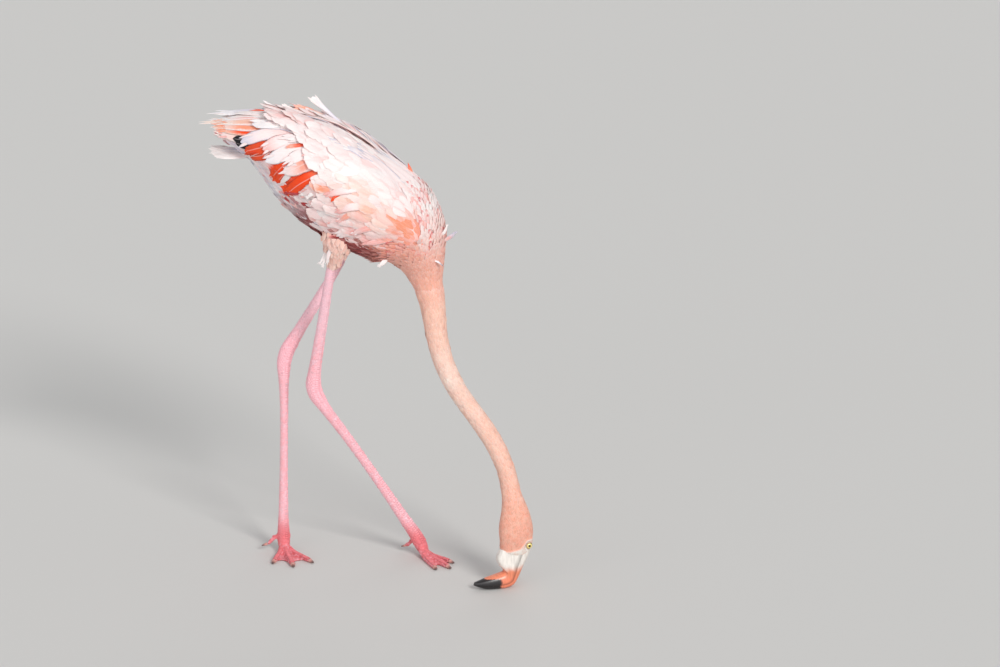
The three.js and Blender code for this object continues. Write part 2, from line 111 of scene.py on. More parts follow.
def unit(v):
    return v / np.maximum(np.linalg.norm(v, axis=-1, keepdims=True), 1e-12)


# The line through bill base, neck and trunk to the tail.
axisMarks = [  # x, y, z, roll of the upper side towards the left in degrees
    (0.2409, -0.0739, 0.048, 28), (0.2439, -0.0724, 0.077, 28), (0.2434, -0.0719, 0.099, 28),
    (0.2414, -0.0689, 0.122, 20), (0.2354, -0.0629, 0.149, 8), (0.2244, -0.0539, 0.190, 0),
    (0.2034, -0.0439, 0.231, 0), (0.1744, -0.0339, 0.269, 0), (0.1454, -0.0239, 0.304, 0),
    (0.1204, -0.0139, 0.347, 0), (0.1064, -0.0049, 0.393, 0), (0.0984, 0.0031, 0.444, 0),
    (0.0904, 0.0081, 0.480, 0), (0.0844, 0.0111, 0.513, 0), (0.0724, 0.0121, 0.543, 0),
    (0.0494, 0.0121, 0.569, 0), (0.0084, 0.0121, 0.601, 0), (-0.0526, 0.0121, 0.634, 0),
    (-0.1156, 0.0121, 0.665, 0), (-0.1766, 0.0121, 0.692, 0), (-0.2226, 0.0121, 0.707, 0),
    (-0.2900, 0.0121, 0.727, 0),
]


def smoothLine(marks, count):
    marks = np.array(marks, float)
    padded = np.vstack([2 * marks[0] - marks[1], marks, 2 * marks[-1] - marks[-2]])
    at = np.linspace(0, len(marks) - 1, count)
    i = np.minimum(at.astype(int), len(marks) - 2)
    t = (at - i)[:, None]
    p0, p1, p2, p3 = (padded[i + k] for k in range(4))
    return 0.5 * (2 * p1 + (p2 - p0) * t + (2 * p0 - 5 * p1 + 4 * p2 - p3) * t**2
                  + (3 * p1 - p0 - 3 * p2 + p3) * t**3)


axisSteps = 360
trunkSteps = 180  # the steps at the tail's end, where x falls steadily
axisLine = smoothLine(axisMarks, axisSteps)
axisAt = axisLine[:, :3]
axisBack = unit(np.gradient(axisAt, axis=0))  # towards the tail
axisReach = np.concatenate([[0], np.cumsum(np.linalg.norm(np.diff(axisAt, axis=0), axis=1))])
axisLeft = unit(np.array([0, 1, 0]) - axisBack * axisBack[:, 1:2])
for i, roll in enumerate(np.radians(axisLine[:, 3])):
    axisLeft[i] = Matrix.Rotation(roll, 3, Vector(axisBack[i])) @ Vector(axisLeft[i])
axisUp = unit(np.cross(axisLeft, axisBack))


# For points: the nearest place on the line, how far along it they are, and the angle round it from the
# upper side, which grows towards the bird's left.
def placeOnAxis(points):
    points = np.asarray(points, float).reshape(-1, 3)
    nearest = np.empty(len(points), int)
    atOnce = 20000  # points in one go, to spare memory
    for start in range(0, len(points), atOnce):
        part = points[start:start + atOnce]
        nearest[start:start + atOnce] = ((part[:, None] - axisAt[None]) ** 2).sum(2).argmin(1)
    off = points - axisAt[nearest]
    along = axisReach[nearest] + (off * axisBack[nearest]).sum(1)
    angle = np.arctan2((off * axisLeft[nearest]).sum(1), (off * axisUp[nearest]).sum(1))
    return nearest, along, angle


def indexAtX(x):
    return int(len(axisAt) - 1 - np.argmin(np.abs(axisAt[::-1, 0][:trunkSteps] - x)))


def treeOf(names):
    points, faces = [], []
    for name in names:
        mesh = nodes[name].data
        first = len(points)
        points += [v.co.copy() for v in mesh.vertices]
        faces += [[first + i for i in p.vertices] for p in mesh.polygons]
    return BVHTree.FromPolygons(points, faces)


fleshOf = {
    "trunk": ["trunk"],
    "neck": [n for n in nodes if n.startswith("neck_")],
    "head": ["head"],
    "wing": ["wing_left", "wing_right"],
    "thigh": ["thigh_left", "thigh_right"],
    "leg": [n for n in nodes if n.startswith(("tibia_", "ankle_", "tarsus_"))],
    "foot": [n for n in nodes if n.startswith(("toe_", "web_"))],
}
coatOutline = treeOf(["trunk", "wing_left", "wing_right", "tertials_left", "tertials_right"])
castFrom = 0.2  # how far out from the line the rays to the outline start


def outwards(index, angle):
    return axisUp[index] * math.cos(angle) + axisLeft[index] * math.sin(angle)


# The outside of the folded plumage at a place on the axis and an angle round it.
def outside(index, angle):
    out = Vector(outwards(index, angle))
    middle = Vector(axisAt[index])
    hit, normal = coatOutline.ray_cast(middle + out * castFrom, -out, castFrom)[:2]
    if hit is None:
        hit, normal = middle + out * 0.004, out
    return np.array(hit), np.array(normal if normal.dot(out) > 0 else -normal)


# Where a marking lies: along the line and round it.
def blobPlace(x, y, z):
    along, angle = placeOnAxis([(x, y, z)])[1:]
    return float(along[0]), abs(float(angle[0]))


# Places on the wings and flanks, the same on both sides: middle, size along and across the body.
patches = [
    {"at": (-0.184, -0.043, 0.697), "size": (0.019, 0.014), "tone": "orange"},
    {"at": (-0.140, -0.056, 0.676), "size": (0.013, 0.022), "tone": "orange"},
    {"at": (-0.108, -0.066, 0.662), "size": (0.018, 0.024), "tone": "orange"},
    {"at": (-0.120, -0.054, 0.640), "size": (0.014, 0.018), "tone": "orange"},
    {"at": (-0.076, -0.078, 0.660), "size": (0.022, 0.007), "tone": "orangeSoft"},
    {"at": (-0.049, -0.082, 0.641), "size": (0.007, 0.007), "tone": "orange"},
    {"at": (-0.122, -0.046, 0.619), "size": (0.016, 0.0035), "tone": "darkRed"},
    {"at": (-0.093, -0.058, 0.613), "size": (0.008, 0.003), "tone": "darkRed"},
    {"at": (0.074, -0.062, 0.577), "size": (0.036, 0.034), "tone": "wrist", "mottled": 0.6},
    {"at": (0.058, -0.068, 0.600), "size": (0.020, 0.014), "tone": "orangeSoft", "mottled": 0.8},
]
for patch in patches:
    patch["along"], patch["angle"] = blobPlace(*patch["at"])


patchEdge = {"soft": (0.8, 1.25), "torn": 0.5, "tornGrain": (60, 5, 3.0), "mottle": (0.05, 0.3),
             "mottleGrain": (110, 9, 8.0)}  # grains: along the line, round it, and a shift


def bodyNoise(along, angle, grain):
    lengthwise, around, shift = grain
    return np.array([noise.noise(Vector((a * lengthwise, t * around, shift))) for a, t in zip(along, angle)])


def patchTone(base, along, angle, radius):
    colour = base.copy()
    mottle = bodyNoise(along, angle, patchEdge["mottleGrain"])
    torn = bodyNoise(along, angle, patchEdge["tornGrain"])
    for patch in patches:
        ahead = (along - patch["along"]) / patch["size"][0]
        around = (np.abs(angle) - patch["angle"]) * radius / patch["size"][1]
        inside = 1 - smooth(*patchEdge["soft"], np.hypot(ahead, around) + patchEdge["torn"] * torn)
        inside *= 1 - patch.get("mottled", 0) * smooth(*patchEdge["mottle"], mottle)
        colour = mixed(colour, tones[patch["tone"]], inside)
    return colour


# Where the coat's colours change: metres along the line, or radians round it from the back.
coatZones = {
    "neck": (0.07, 0.15), "paleNeck": (0.14, 0.40), "lowNeck": (0.28, 0.42), "neckFoot": (0.42, 0.49),
    "breast": (0.50, 0.58), "back": (0.51, 0.58), "backSide": (1.15, 1.55), "rearBack": (0.74, 0.84),
    "belly": (0.55, 0.61), "bellySide": (1.85, 2.25), "rearBelly": (0.70, 0.80), "flank": (0.60, 0.68),
    "flankTop": (1.35, 1.6), "flankFoot": (1.95, 2.25), "rearFlank": (0.80, 0.88), "patches": (0.56, 0.60),
}


def past(zone, values):
    return smooth(*coatZones[zone], values)


# The colour of the coat, which the skin under it has as well.
def plumageTone(points):
    points = np.asarray(points, float)
    index, along, angle = placeOnAxis(points)
    radius = np.linalg.norm(points - axisAt[index], axis=1)
    turn = np.abs(angle)
    fine, broad = cloud(points, 0.006), cloud(points, 0.022, 7)
    pale = 0.10 + 0.65 * past("paleNeck", along) + 0.5 * (broad - 0.5) + 0.5 * (fine - 0.5)
    neck = mixed(tones["neck"], tones["neckPale"], np.clip(pale, 0, 1))
    head = mixed(tones["headOrange"], tones["neck"], np.clip(0.45 + 1.1 * (fine - 0.5), 0, 1))
    colour = mixed(head, neck, past("neck", along))
    colour = mixed(colour, tones["neck"], 0.8 * past("lowNeck", along))
    colour = mixed(colour, tones["wrist"], 0.6 * past("neckFoot", along))
    breast = mixed(tones["wrist"], tones["blush"], np.clip(1.4 * (fine - 0.4), 0, 1))
    colour = mixed(colour, breast, past("breast", along))
    back = mixed(tones["mantle"], tones["blush"], smooth(0.50, 0.72, fine))
    back = mixed(back, tones["white"], 0.8 * smooth(0.40, 0.65, broad))
    back = mixed(back, tones["palePink"], past("rearBack", along))
    colour = mixed(colour, back, past("back", along) * (1 - past("backSide", turn)))
    # The underside: the dark red of painted shade, mottled with its own blush.
    under = mixed(tones["belly"], tones["blush"], np.clip(1.1 * (fine - 0.5), 0, 1))
    # The rear's lilac-grey is partly painted shade on its white feathers.
    rear = mixed(tones["greyWhite"], tones["lilac"], smooth(0.45, 0.7, fine))
    rear = mixed(rear, tones["blush"], 0.5 * smooth(0.55, 0.75, broad))
    under = mixed(under, rear, past("rearBelly", along))
    colour = mixed(colour, under, past("belly", along) * past("bellySide", turn))
    flank = mixed(tones["palePink"], rear, past("rearFlank", along))
    onFlank = past("flank", along) * past("flankTop", turn) * (1 - past("flankFoot", turn))
    colour = mixed(colour, flank, onFlank)
    return mixed(colour, patchTone(colour, along, angle, radius), past("patches", along))


print("axis and markings ready:", round(float(axisReach[-1]), 3), "m from face to tail")


def meshFrom(name, points, faces, edges=()):
    mesh = bpy.data.meshes.new(name)
    mesh.from_pydata([tuple(p) for p in points], list(edges), [tuple(f) for f in faces])
    mesh.update()
    return mesh


def addObject(name, data):
    piece = bpy.data.objects.new(name, data)
    bpy.context.scene.collection.objects.link(piece)
    return piece


def opened(mesh):
    bm = bmesh.new()
    bm.from_mesh(mesh)
    return bm


def closed(bm, mesh):
    bm.to_mesh(mesh)
    bm.free()
    mesh.update()
    return mesh


def smoothShaded(mesh, angle=360):  # edges that fold more than the angle stay sharp
    bm = opened(mesh)
    for face in bm.faces:
        face.smooth = True
    for edge in bm.edges:
        edge.smooth = edge.calc_face_angle(0) < math.radians(angle)
    return closed(bm, mesh)


def setColour(mesh, name, colours):
    attribute = mesh.attributes.new(name, "FLOAT_COLOR", "POINT")
    rgba = np.ones((len(colours), 4), np.float32)
    rgba[:, :3] = np.clip(colours, 0, 1)
    attribute.data.foreach_set("color", rgba.ravel())


def setVaneUv(mesh, placeOf):  # across a feather and along it, by point
    layer = mesh.uv_layers.new(name="vane")
    for corner, loop in zip(layer.uv, mesh.loops):
        corner.vector = placeOf(loop.vertex_index)


def setFloats(mesh, name, values):
    mesh.attributes.new(name, "FLOAT", "POINT").data.foreach_set("value", np.asarray(values, np.float32))


def setVectors(mesh, name, values, kind="FLOAT_VECTOR", field="vector"):
    data = mesh.attributes.new(name, kind, "POINT").data
    data.foreach_set(field, np.asarray(values, np.float32).ravel())


def coordsOf(mesh):
    points = np.empty(len(mesh.vertices) * 3, np.float32)
    mesh.vertices.foreach_get("co", points)
    return points.reshape(-1, 3).astype(float)


def setCoords(mesh, points):
    mesh.vertices.foreach_set("co", np.asarray(points, np.float32).ravel())
    mesh.update()


def normalsOf(mesh):
    normals = np.empty(len(mesh.vertices) * 3, np.float32)
    mesh.vertex_normals.foreach_get("vector", normals)
    return normals.reshape(-1, 3).astype(float)


# The mesh that an object shows with its modifiers, and the object itself put away.
def settled(piece):
    bpy.context.view_layer.update()
    mesh = bpy.data.meshes.new_from_object(piece.evaluated_get(bpy.context.evaluated_depsgraph_get()))
    bpy.data.objects.remove(piece)
    return mesh


class Nodes:  # short ways to add nodes to a tree
    def __init__(self, tree):
        self.tree = tree

    def put(self, value, socket):
        if isinstance(value, bpy.types.NodeSocket):
            self.tree.links.new(value, socket)
        else:
            socket.default_value = value

    def add(self, kind, inputs=None, **settings):
        node = self.tree.nodes.new(kind)
        for key, value in settings.items():
            setattr(node, key, value)
        for key, value in (inputs or {}).items():
            self.put(value, node.inputs[key])
        return node

    def math(self, operation, a, b=0.0):
        return self.add("ShaderNodeMath", {0: a, 1: b}, operation=operation).outputs[0]

    def axes(self, vector):
        return self.add("ShaderNodeSeparateXYZ", {0: vector}).outputs


class FeatherTree(Nodes):  # a Geometry Nodes group with its named inputs
    def __init__(self, name, inputs):
        super().__init__(bpy.data.node_groups.new(name, "GeometryNodeTree"))
        self.sockets = {}
        face = self.tree.interface
        face.new_socket(name="Geometry", in_out="INPUT", socket_type="NodeSocketGeometry")
        for label, kind in inputs.items():
            socket = face.new_socket(name=label, in_out="INPUT", socket_type="NodeSocket" + kind)
            self.sockets[label] = socket.identifier
        face.new_socket(name="Geometry", in_out="OUTPUT", socket_type="NodeSocketGeometry")
        self.given = self.tree.nodes.new("NodeGroupInput").outputs

    def named(self, name, kind="FLOAT"):
        return self.add("GeometryNodeInputNamedAttribute", {"Name": name}, data_type=kind).outputs[0]

    def vector(self, operation, a, b):
        return self.add("ShaderNodeVectorMath", {0: a, 1: b}, operation=operation).outputs[0]

    def scaled(self, vector, scale):
        return self.add("ShaderNodeVectorMath", {0: vector, "Scale": scale}, operation="SCALE").outputs[0]

    def stored(self, geometry, name, place):
        inputs = {"Geometry": geometry, "Name": name, "Value": place}
        return self.add("GeometryNodeStoreNamedAttribute", inputs, data_type="FLOAT2",
                        domain="CORNER").outputs[0]

    def kept(self, geometry, name, value):  # gives the geometry and the value that its points have here
        node = self.add("GeometryNodeCaptureAttribute", {"Geometry": geometry})
        node.capture_items.new("FLOAT", name)
        self.put(value, node.inputs[1])
        return node.outputs

    # The end of both trees: each vane's patch on the bake map, smooth faces and the material.
    def finish(self, geometry):
        centred = self.vector("SUBTRACT", self.named("vane", "FLOAT_VECTOR"), (0.5, 0.5, 0))
        small = self.scaled(centred, self.given["Patch"])
        place = self.vector("ADD", small, self.named("rootPlace", "FLOAT_VECTOR"))
        mapped = self.stored(geometry, "OFBake", place)
        shaded = self.add("GeometryNodeSetShadeSmooth", {"Geometry": mapped}).outputs[0]
        painted = self.add("GeometryNodeSetMaterial", {"Geometry": shaded,
                                                       "Material": self.given["Material"]})
        self.put(painted.outputs[0], self.tree.nodes.new("NodeGroupOutput").inputs[0])
        return self

    def run(self, name, mesh, values):
        piece = addObject(name, mesh)
        modifier = piece.modifiers.new(name, "NODES")
        modifier.node_group = self.tree
        for label, value in values.items():
            modifier[self.sockets[label]] = value
        result = addObject(name, settled(piece))
        result.data.name = name
        return result


# Sets one of several small feathers, or scutes, on each point of a mesh.
def scatterTree():
    tree = FeatherTree("scatterFeathers", {"Shapes": "Collection", "Scale": "Float", "Patch": "Float",
                                           "Material": "Material"})
    shapes = tree.add("GeometryNodeCollectionInfo", {0: tree.given["Shapes"], 1: True, 2: True}).outputs[0]
    placed = tree.add("GeometryNodeInstanceOnPoints", {
        "Points": tree.given[0], "Instance": shapes, "Pick Instance": True,
        "Instance Index": tree.named("shape", "INT"), "Rotation": tree.named("turn", "QUATERNION"),
        "Scale": tree.scaled(tree.named("size", "FLOAT_VECTOR"), tree.given["Scale"])}).outputs[0]
    return tree.finish(tree.add("GeometryNodeRealizeInstances", {"Geometry": placed}).outputs[0])


# Sweeps a thin cambered section along chains of points, so that each chain becomes one long vane.
def vaneTree():
    tree = FeatherTree("sweepVanes", {"Thickness": "Float", "Camber": "Float", "Patch": "Float",
                                      "Material": "Material"})
    circle = tree.add("GeometryNodeCurvePrimitiveCircle", {"Resolution": 10, "Radius": 1.0}).outputs[0]
    x, y, z = tree.axes(tree.add("GeometryNodeInputPosition").outputs[0])
    droop = tree.math("MULTIPLY", tree.math("MULTIPLY", x, x), tree.given["Camber"])
    height = tree.math("SUBTRACT", tree.math("MULTIPLY", y, tree.given["Thickness"]), droop)
    flat = tree.add("ShaderNodeCombineXYZ", {0: height, 1: tree.math("MULTIPLY", x, -1.0)}).outputs[0]
    across = tree.kept(circle, "across", tree.math("ADD", tree.math("MULTIPLY", x, 0.5), 0.5))
    section = tree.add("GeometryNodeSetPosition", {"Geometry": across[0], "Position": flat}).outputs[0]
    line = tree.add("GeometryNodeMeshToCurve", {"Mesh": tree.given[0]}).outputs[0]
    turned = tree.add("GeometryNodeSetCurveNormal", {"Curve": line,
                                                     "Normal": tree.named("facing", "FLOAT_VECTOR")},
                      mode="FREE").outputs[0]
    along = tree.kept(turned, "along", tree.add("GeometryNodeSplineParameter").outputs["Factor"])
    swept = tree.add("GeometryNodeCurveToMesh", {
        "Curve": along[0], "Profile Curve": section, "Scale": tree.named("halfWidth"), "Fill Caps": True})
    vane = tree.add("ShaderNodeCombineXYZ", {0: across[1], 1: along[1]}).outputs[0]
    return tree.finish(tree.stored(swept.outputs[0], "vane", vane))


class Shader(Nodes):  # a material with short ways to build it
    def __init__(self, name, roughness, **sockets):
        self.material = bpy.data.materials.new(name)
        self.material.use_nodes = True
        super().__init__(self.material.node_tree)
        self.surface = self.tree.nodes["Principled BSDF"]
        self.set("Roughness", roughness)
        for key, value in sockets.items():
            self.set(key.replace("_", " "), value)

    def set(self, key, value):
        self.put(value, self.surface.inputs[key])

    def attribute(self, name, output="Color"):
        return self.add("ShaderNodeAttribute", attribute_name=name).outputs[output]

    def uv(self, name):
        return self.axes(self.add("ShaderNodeUVMap", uv_map=name).outputs[0])

    def place(self):
        return self.add("ShaderNodeTexCoord").outputs["Object"]

    def ramp(self, value, low, high, to=(0.0, 1.0)):
        return self.add("ShaderNodeMapRange", {"Value": value, "From Min": low, "From Max": high,
                                               "To Min": to[0], "To Max": to[1]}).outputs[0]

    def varied(self, value, by, amount):  # a value moved up and down by a noise
        return self.math("ADD", value, self.math("MULTIPLY", self.math("SUBTRACT", by, 0.5), amount))

    def offMiddle(self, value):
        return self.math("ABSOLUTE", self.math("SUBTRACT", value, 0.5))

    def mix(self, factor, a, b, blend="MIX"):
        node = self.add("ShaderNodeMix", data_type="RGBA", blend_type=blend)
        for key, kind, value in (("Factor", "VALUE", factor), ("A", "RGBA", a), ("B", "RGBA", b)):
            self.put(value, next(s for s in node.inputs if s.name == key and s.type == kind))
        return next(s for s in node.outputs if s.type == "RGBA")

    def shaded(self, colour, level):  # a colour made darker or lighter by a level
        grey = self.add("ShaderNodeCombineColor", {0: level, 1: level, 2: level}).outputs[0]
        return self.mix(1.0, colour, grey, "MULTIPLY")

    def noiseAt(self, scale, detail=2.0, vector=None):
        inputs = {"Vector": vector or self.place(), "Scale": scale, "Detail": detail}
        return self.add("ShaderNodeTexNoise", inputs).outputs[0]

    def lineNoise(self, along, **more):
        return self.add("ShaderNodeTexNoise", {"W": along, "Scale": 1.0, **more},
                        noise_dimensions="1D").outputs[0]

    def bump(self, height, strength, distance):
        node = self.add("ShaderNodeBump", {"Height": height, "Strength": strength, "Distance": distance})
        self.set("Normal", node.outputs[0])


# How a feather is drawn on its own map, from 0 to 1 across it and along it.
vaneLook = {
    "slant": 0.22, "seedStep": 91.7, "softGrain": 260.0, "softRim": 0.5, "softTip": 0.25,
    "rim": (0.55, 0.95), "tip": (0.72, 0.95), "streak": (0.86, 1.06), "shaft": (0.03, 0.09),
    "shaftTone": (0.93, 0.80, 0.78, 1), "shaftHeight": 0.6, "bump": (0.35, 0.0006),
}


def plumageMaterial():
    made = Shader("plumage", 0.66, Sheen_Weight=0.10, Sheen_Roughness=0.5, Specular_IOR_Level=0.2,
                  Subsurface_Weight=0.16, Subsurface_Radius=(1.0, 0.62, 0.55), Subsurface_Scale=0.004)
    x, along, z = made.uv("vane")
    across = made.math("MULTIPLY", made.offMiddle(x), 2.0)
    slant = made.math("SUBTRACT", along, made.math("MULTIPLY", across, vaneLook["slant"]))
    line = made.math("ADD", made.math("MULTIPLY", slant, made.attribute("grain", "Fac")),
                     made.math("MULTIPLY", made.attribute("seed", "Fac"), vaneLook["seedStep"]))
    barbs = made.lineNoise(line, Detail=2.5, Roughness=0.6)
    rim = made.varied(across, made.noiseAt(vaneLook["softGrain"], 3.0), vaneLook["softRim"])
    tip = made.varied(along, barbs, vaneLook["softTip"])
    outer = made.math("MAXIMUM", made.ramp(rim, *vaneLook["rim"]), made.ramp(tip, *vaneLook["tip"]))
    colour = made.mix(outer, made.attribute("tint"), made.attribute("edge"))
    colour = made.shaded(colour, made.ramp(barbs, 0.25, 0.75, vaneLook["streak"]))
    shaft = made.math("MULTIPLY", made.math("SUBTRACT", 1.0, made.ramp(across, *vaneLook["shaft"])),
                      made.attribute("shaft", "Fac"))
    made.set("Base Color", made.mix(shaft, colour, vaneLook["shaftTone"]))
    height = made.math("ADD", barbs, made.math("MULTIPLY", shaft, vaneLook["shaftHeight"]))
    made.bump(height, *vaneLook["bump"])
    return made.material


def skinMaterial():
    made = Shader("skin", 0.5, Specular_IOR_Level=0.4)
    grain = made.noiseAt(900.0, 3.0)
    pores = made.add("ShaderNodeTexVoronoi", {"Vector": made.place(), "Scale": 620.0}).outputs["Distance"]
    made.set("Base Color", made.shaded(made.attribute("tint"), made.ramp(grain, 0.3, 0.7, (0.88, 1.08))))
    height = made.math("SUBTRACT", made.ramp(grain, 0.3, 0.7), pores)
    made.bump(made.math("MULTIPLY", height, made.attribute("bare", "Fac")), 0.5, 0.0005)
    return made.material


def scuteMaterial():
    made = Shader("scutes", 0.42, Specular_IOR_Level=0.45)
    x, y, z = made.uv("vane")
    rim = made.math("MAXIMUM", made.ramp(made.offMiddle(x), 0.36, 0.5),
                    made.ramp(made.offMiddle(y), 0.32, 0.5))
    colour = made.mix(made.math("MULTIPLY", rim, 0.75), made.attribute("tint"), made.attribute("edge"))
    fine = made.noiseAt(1400.0, 2.0)
    made.set("Base Color", made.shaded(colour, made.ramp(fine, 0.3, 0.7, (0.9, 1.06))))
    made.bump(fine, 0.25, 0.0003)
    return made.material


def hornMaterial(name, roughness, streaks):
    made = Shader(name, roughness, Coat_Weight=0.25, Coat_Roughness=0.25)
    stretched = made.add("ShaderNodeMapping", {"Vector": made.place(), "Scale": streaks}).outputs[0]
    lines = made.noiseAt(1.0, 4.0, stretched)
    made.set("Base Color", made.shaded(made.attribute("tint"), made.ramp(lines, 0.3, 0.7, (0.84, 1.1))))
    made.bump(lines, 0.22, 0.0004)
    return made.material


irisRings = [  # out from the pupil's middle, as a share of the eye's radius
    (0.0, tone(8, 7, 8)), (0.30, tone(8, 7, 8)), (0.325, tone(206, 176, 84)), (0.50, tone(244, 228, 146)),
    (0.70, tone(226, 202, 104)), (0.78, tone(70, 50, 40)), (0.90, tone(40, 30, 28)),
]


def eyeMaterial():
    made = Shader("eye", 0.06, Coat_Weight=1.0, Coat_Roughness=0.02, Specular_IOR_Level=0.6)
    around, out, z = made.uv("iris")
    fibres = made.lineNoise(made.math("MULTIPLY", around, 60.0))
    ramp = made.add("ShaderNodeValToRGB", {0: made.varied(out, fibres, 0.02)})
    stops = ramp.color_ramp.elements
    while len(stops) < len(irisRings):
        stops.new(0.5)
    for stop, (at, colour) in zip(stops, irisRings):
        stop.position = at
        stop.color = (*colour, 1)
    made.set("Base Color", ramp.outputs[0])
    return made.material


materials = {
    "plumage": plumageMaterial(),
    "skin": skinMaterial(),
    "scutes": scuteMaterial(),
    "bill": hornMaterial("billHorn", 0.36, (320.0, 320.0, 60.0)),
    "claw": hornMaterial("clawHorn", 0.4, (500.0, 500.0, 500.0)),
    "eye": eyeMaterial(),
}


headTurn = math.radians(28)
headOut = Vector((math.cos(headTurn), math.sin(headTurn), 0))  # from face to crown
headLeft = Vector((-headOut.y, headOut.x, 0))
headMiddle = Vector((0.24239, -0.07287, 0))
eyes = {}
for side in ("left", "right"):
    low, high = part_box("eye_" + side)
    eyes[side] = {"at": (low + high) / 2, "radius": (high.z - low.z) / 2,
                  "look": headLeft * (1 if side == "left" else -1)}

# The eyelids: rings out from the eye's axis, then heights over the eyeball.
lids = {"open": 0.0046, "lip": (-0.0004, 0.0002), "ring": 0.0068, "ringSoft": 0.0008, "blend": 0.0090,
        "finer": (0.013, 0.0105), "reach": 0.016, "thick": 0.0007, "over": 0.0001, "hollow": 0.0016,
        "wrinkle": 0.00018, "wrinklePitch": 0.00022, "wrinkleFrom": 0.0006}

# The edge of the feathers on the face: out from the head's axis, height.
faceEdge = [(-0.040, 0.0600), (-0.014, 0.0624), (0.002, 0.0663), (0.0137, 0.0800), (0.0264, 0.0804),
            (0.060, 0.0804)]


# How far a point of the head lies below the feathers' edge, and how far it is from the nearer eye's axis.
def faceDepth(points):
    off = np.asarray(points) - np.array(headMiddle)
    out = off @ np.array(headOut)
    edge = np.interp(out, *zip(*faceEdge))
    return edge - np.asarray(points)[:, 2]


def eyeDistance(points):
    far = 1.0
    best = np.full(len(points), far)
    for eye in eyes.values():
        off = np.asarray(points) - np.array(eye["at"])
        depth = off @ np.array(eye["look"])
        ring = np.linalg.norm(off - depth[:, None] * np.array(eye["look"]), axis=1)
        best = np.minimum(best, np.where(depth > -0.002, ring, far))
    return best


skinPlan = {
    "voxel": 0.00163, "grow": 0.0006, "creaseAngle": 50, "smoothing": 5, "smoothingUnder": 6,
    "blend": 0.004,  # how softly one part's values turn into the next one's
    "depth": {"trunk": 0.0045, "wing": 0.003, "thigh": 0.0035, "neck": 0.0016, "head": 0.0009, "leg": 0.0,
              "foot": 0.0},
    "keep": 0.18,  # share of the faces kept under the feathers
}
roundLevels = 2


# A rounded copy of a faceted node: its long facets go, its cut ends stay flat.
def roundedMesh(name, grow):
    bm = opened(nodes[name].data)
    bmesh.ops.remove_doubles(bm, verts=bm.verts, dist=1e-5)
    crease = bm.edges.layers.float.new("crease_edge")
    for edge in bm.edges:
        if len(edge.link_faces) == 2 and edge.calc_face_angle(0) > math.radians(skinPlan["creaseAngle"]):
            edge[crease] = 1
    piece = addObject(name + "_round", closed(bm, bpy.data.meshes.new(name + "_round")))
    modifier = piece.modifiers.new("round", "SUBSURF")
    modifier.levels = modifier.render_levels = roundLevels
    mesh = settled(piece)
    setCoords(mesh, coordsOf(mesh) + normalsOf(mesh) * grow)
    return mesh


def nearestGap(tree, points, reach=0.05):
    gaps = np.full(len(points), reach)
    for i, p in enumerate(points):
        hit = tree.find_nearest(Vector(p), reach)
        if hit[0] is not None:
            gaps[i] = hit[3]
    return gaps


def evened(piece, times, group=""):
    even = piece.modifiers.new("even", "SMOOTH")
    even.factor = 0.5
    even.iterations = times
    even.vertex_group = group


# All the flesh as one closed mesh, drawn in by the coat's depth, with each point's share of every part.
def joinedFlesh():
    bm = bmesh.new()
    for name in sum(fleshOf.values(), []):
        mesh = roundedMesh(name, skinPlan["grow"])
        bm.from_mesh(mesh)
        bpy.data.meshes.remove(mesh)
    piece = addObject("skinDraft", closed(bm, bpy.data.meshes.new("skin")))
    remesh = piece.modifiers.new("join", "REMESH")
    remesh.mode = "VOXEL"
    remesh.voxel_size = skinPlan["voxel"]
    evened(piece, skinPlan["smoothing"])
    mesh = settled(piece)
    points = coordsOf(mesh)
    print("skin joined:", len(points), "points")
    gaps = {group: nearestGap(treeOf(names), points) for group, names in fleshOf.items()}
    weights = {group: np.exp(-gap / skinPlan["blend"]) for group, gap in gaps.items()}
    total = sum(weights.values())
    depth = sum(weights[g] * skinPlan["depth"][g] for g in weights) / total
    covered = sum(weights[g] for g in ("trunk", "wing", "thigh")) / total
    bareFace = smooth(-0.002, 0.002, faceDepth(points)) * (gaps["head"] < 0.01)
    bareFace = np.maximum(bareFace, 1 - smooth(lids["ring"], lids["blend"], eyeDistance(points)))
    depth *= 1 - bareFace
    bare = np.maximum((weights["leg"] + weights["foot"]) / total, bareFace)
    setCoords(mesh, points - normalsOf(mesh) * depth[:, None])
    for name, values in (("bare", bare), ("depth", depth), ("face", bareFace)):
        setFloats(mesh, name, values)
    for group in ("leg", "foot", "neck", "head", "thigh", "wing"):
        setFloats(mesh, "is_" + group, weights[group] / total)
    return mesh, np.clip(covered * 1.2 - 0.1, 0, 1)


def buildSkin():
    mesh, hidden = joinedFlesh()
    piece = addObject("skinThin", mesh)
    thin = piece.vertex_groups.new(name="thin")
    levels = 10
    for level in range(1, levels + 1):
        members = np.nonzero(np.round(hidden * levels).astype(int) == level)[0]
        thin.add([int(i) for i in members], level / levels, "REPLACE")
    evened(piece, skinPlan["smoothingUnder"], "thin")
    fewer = piece.modifiers.new("fewer", "DECIMATE")
    fewer.vertex_group = "thin"
    fewer.ratio = 1 - float(hidden.mean()) * (1 - skinPlan["keep"])
    mesh = settled(piece)
    shapeLids(mesh)
    paintSkin(mesh)
    return mesh


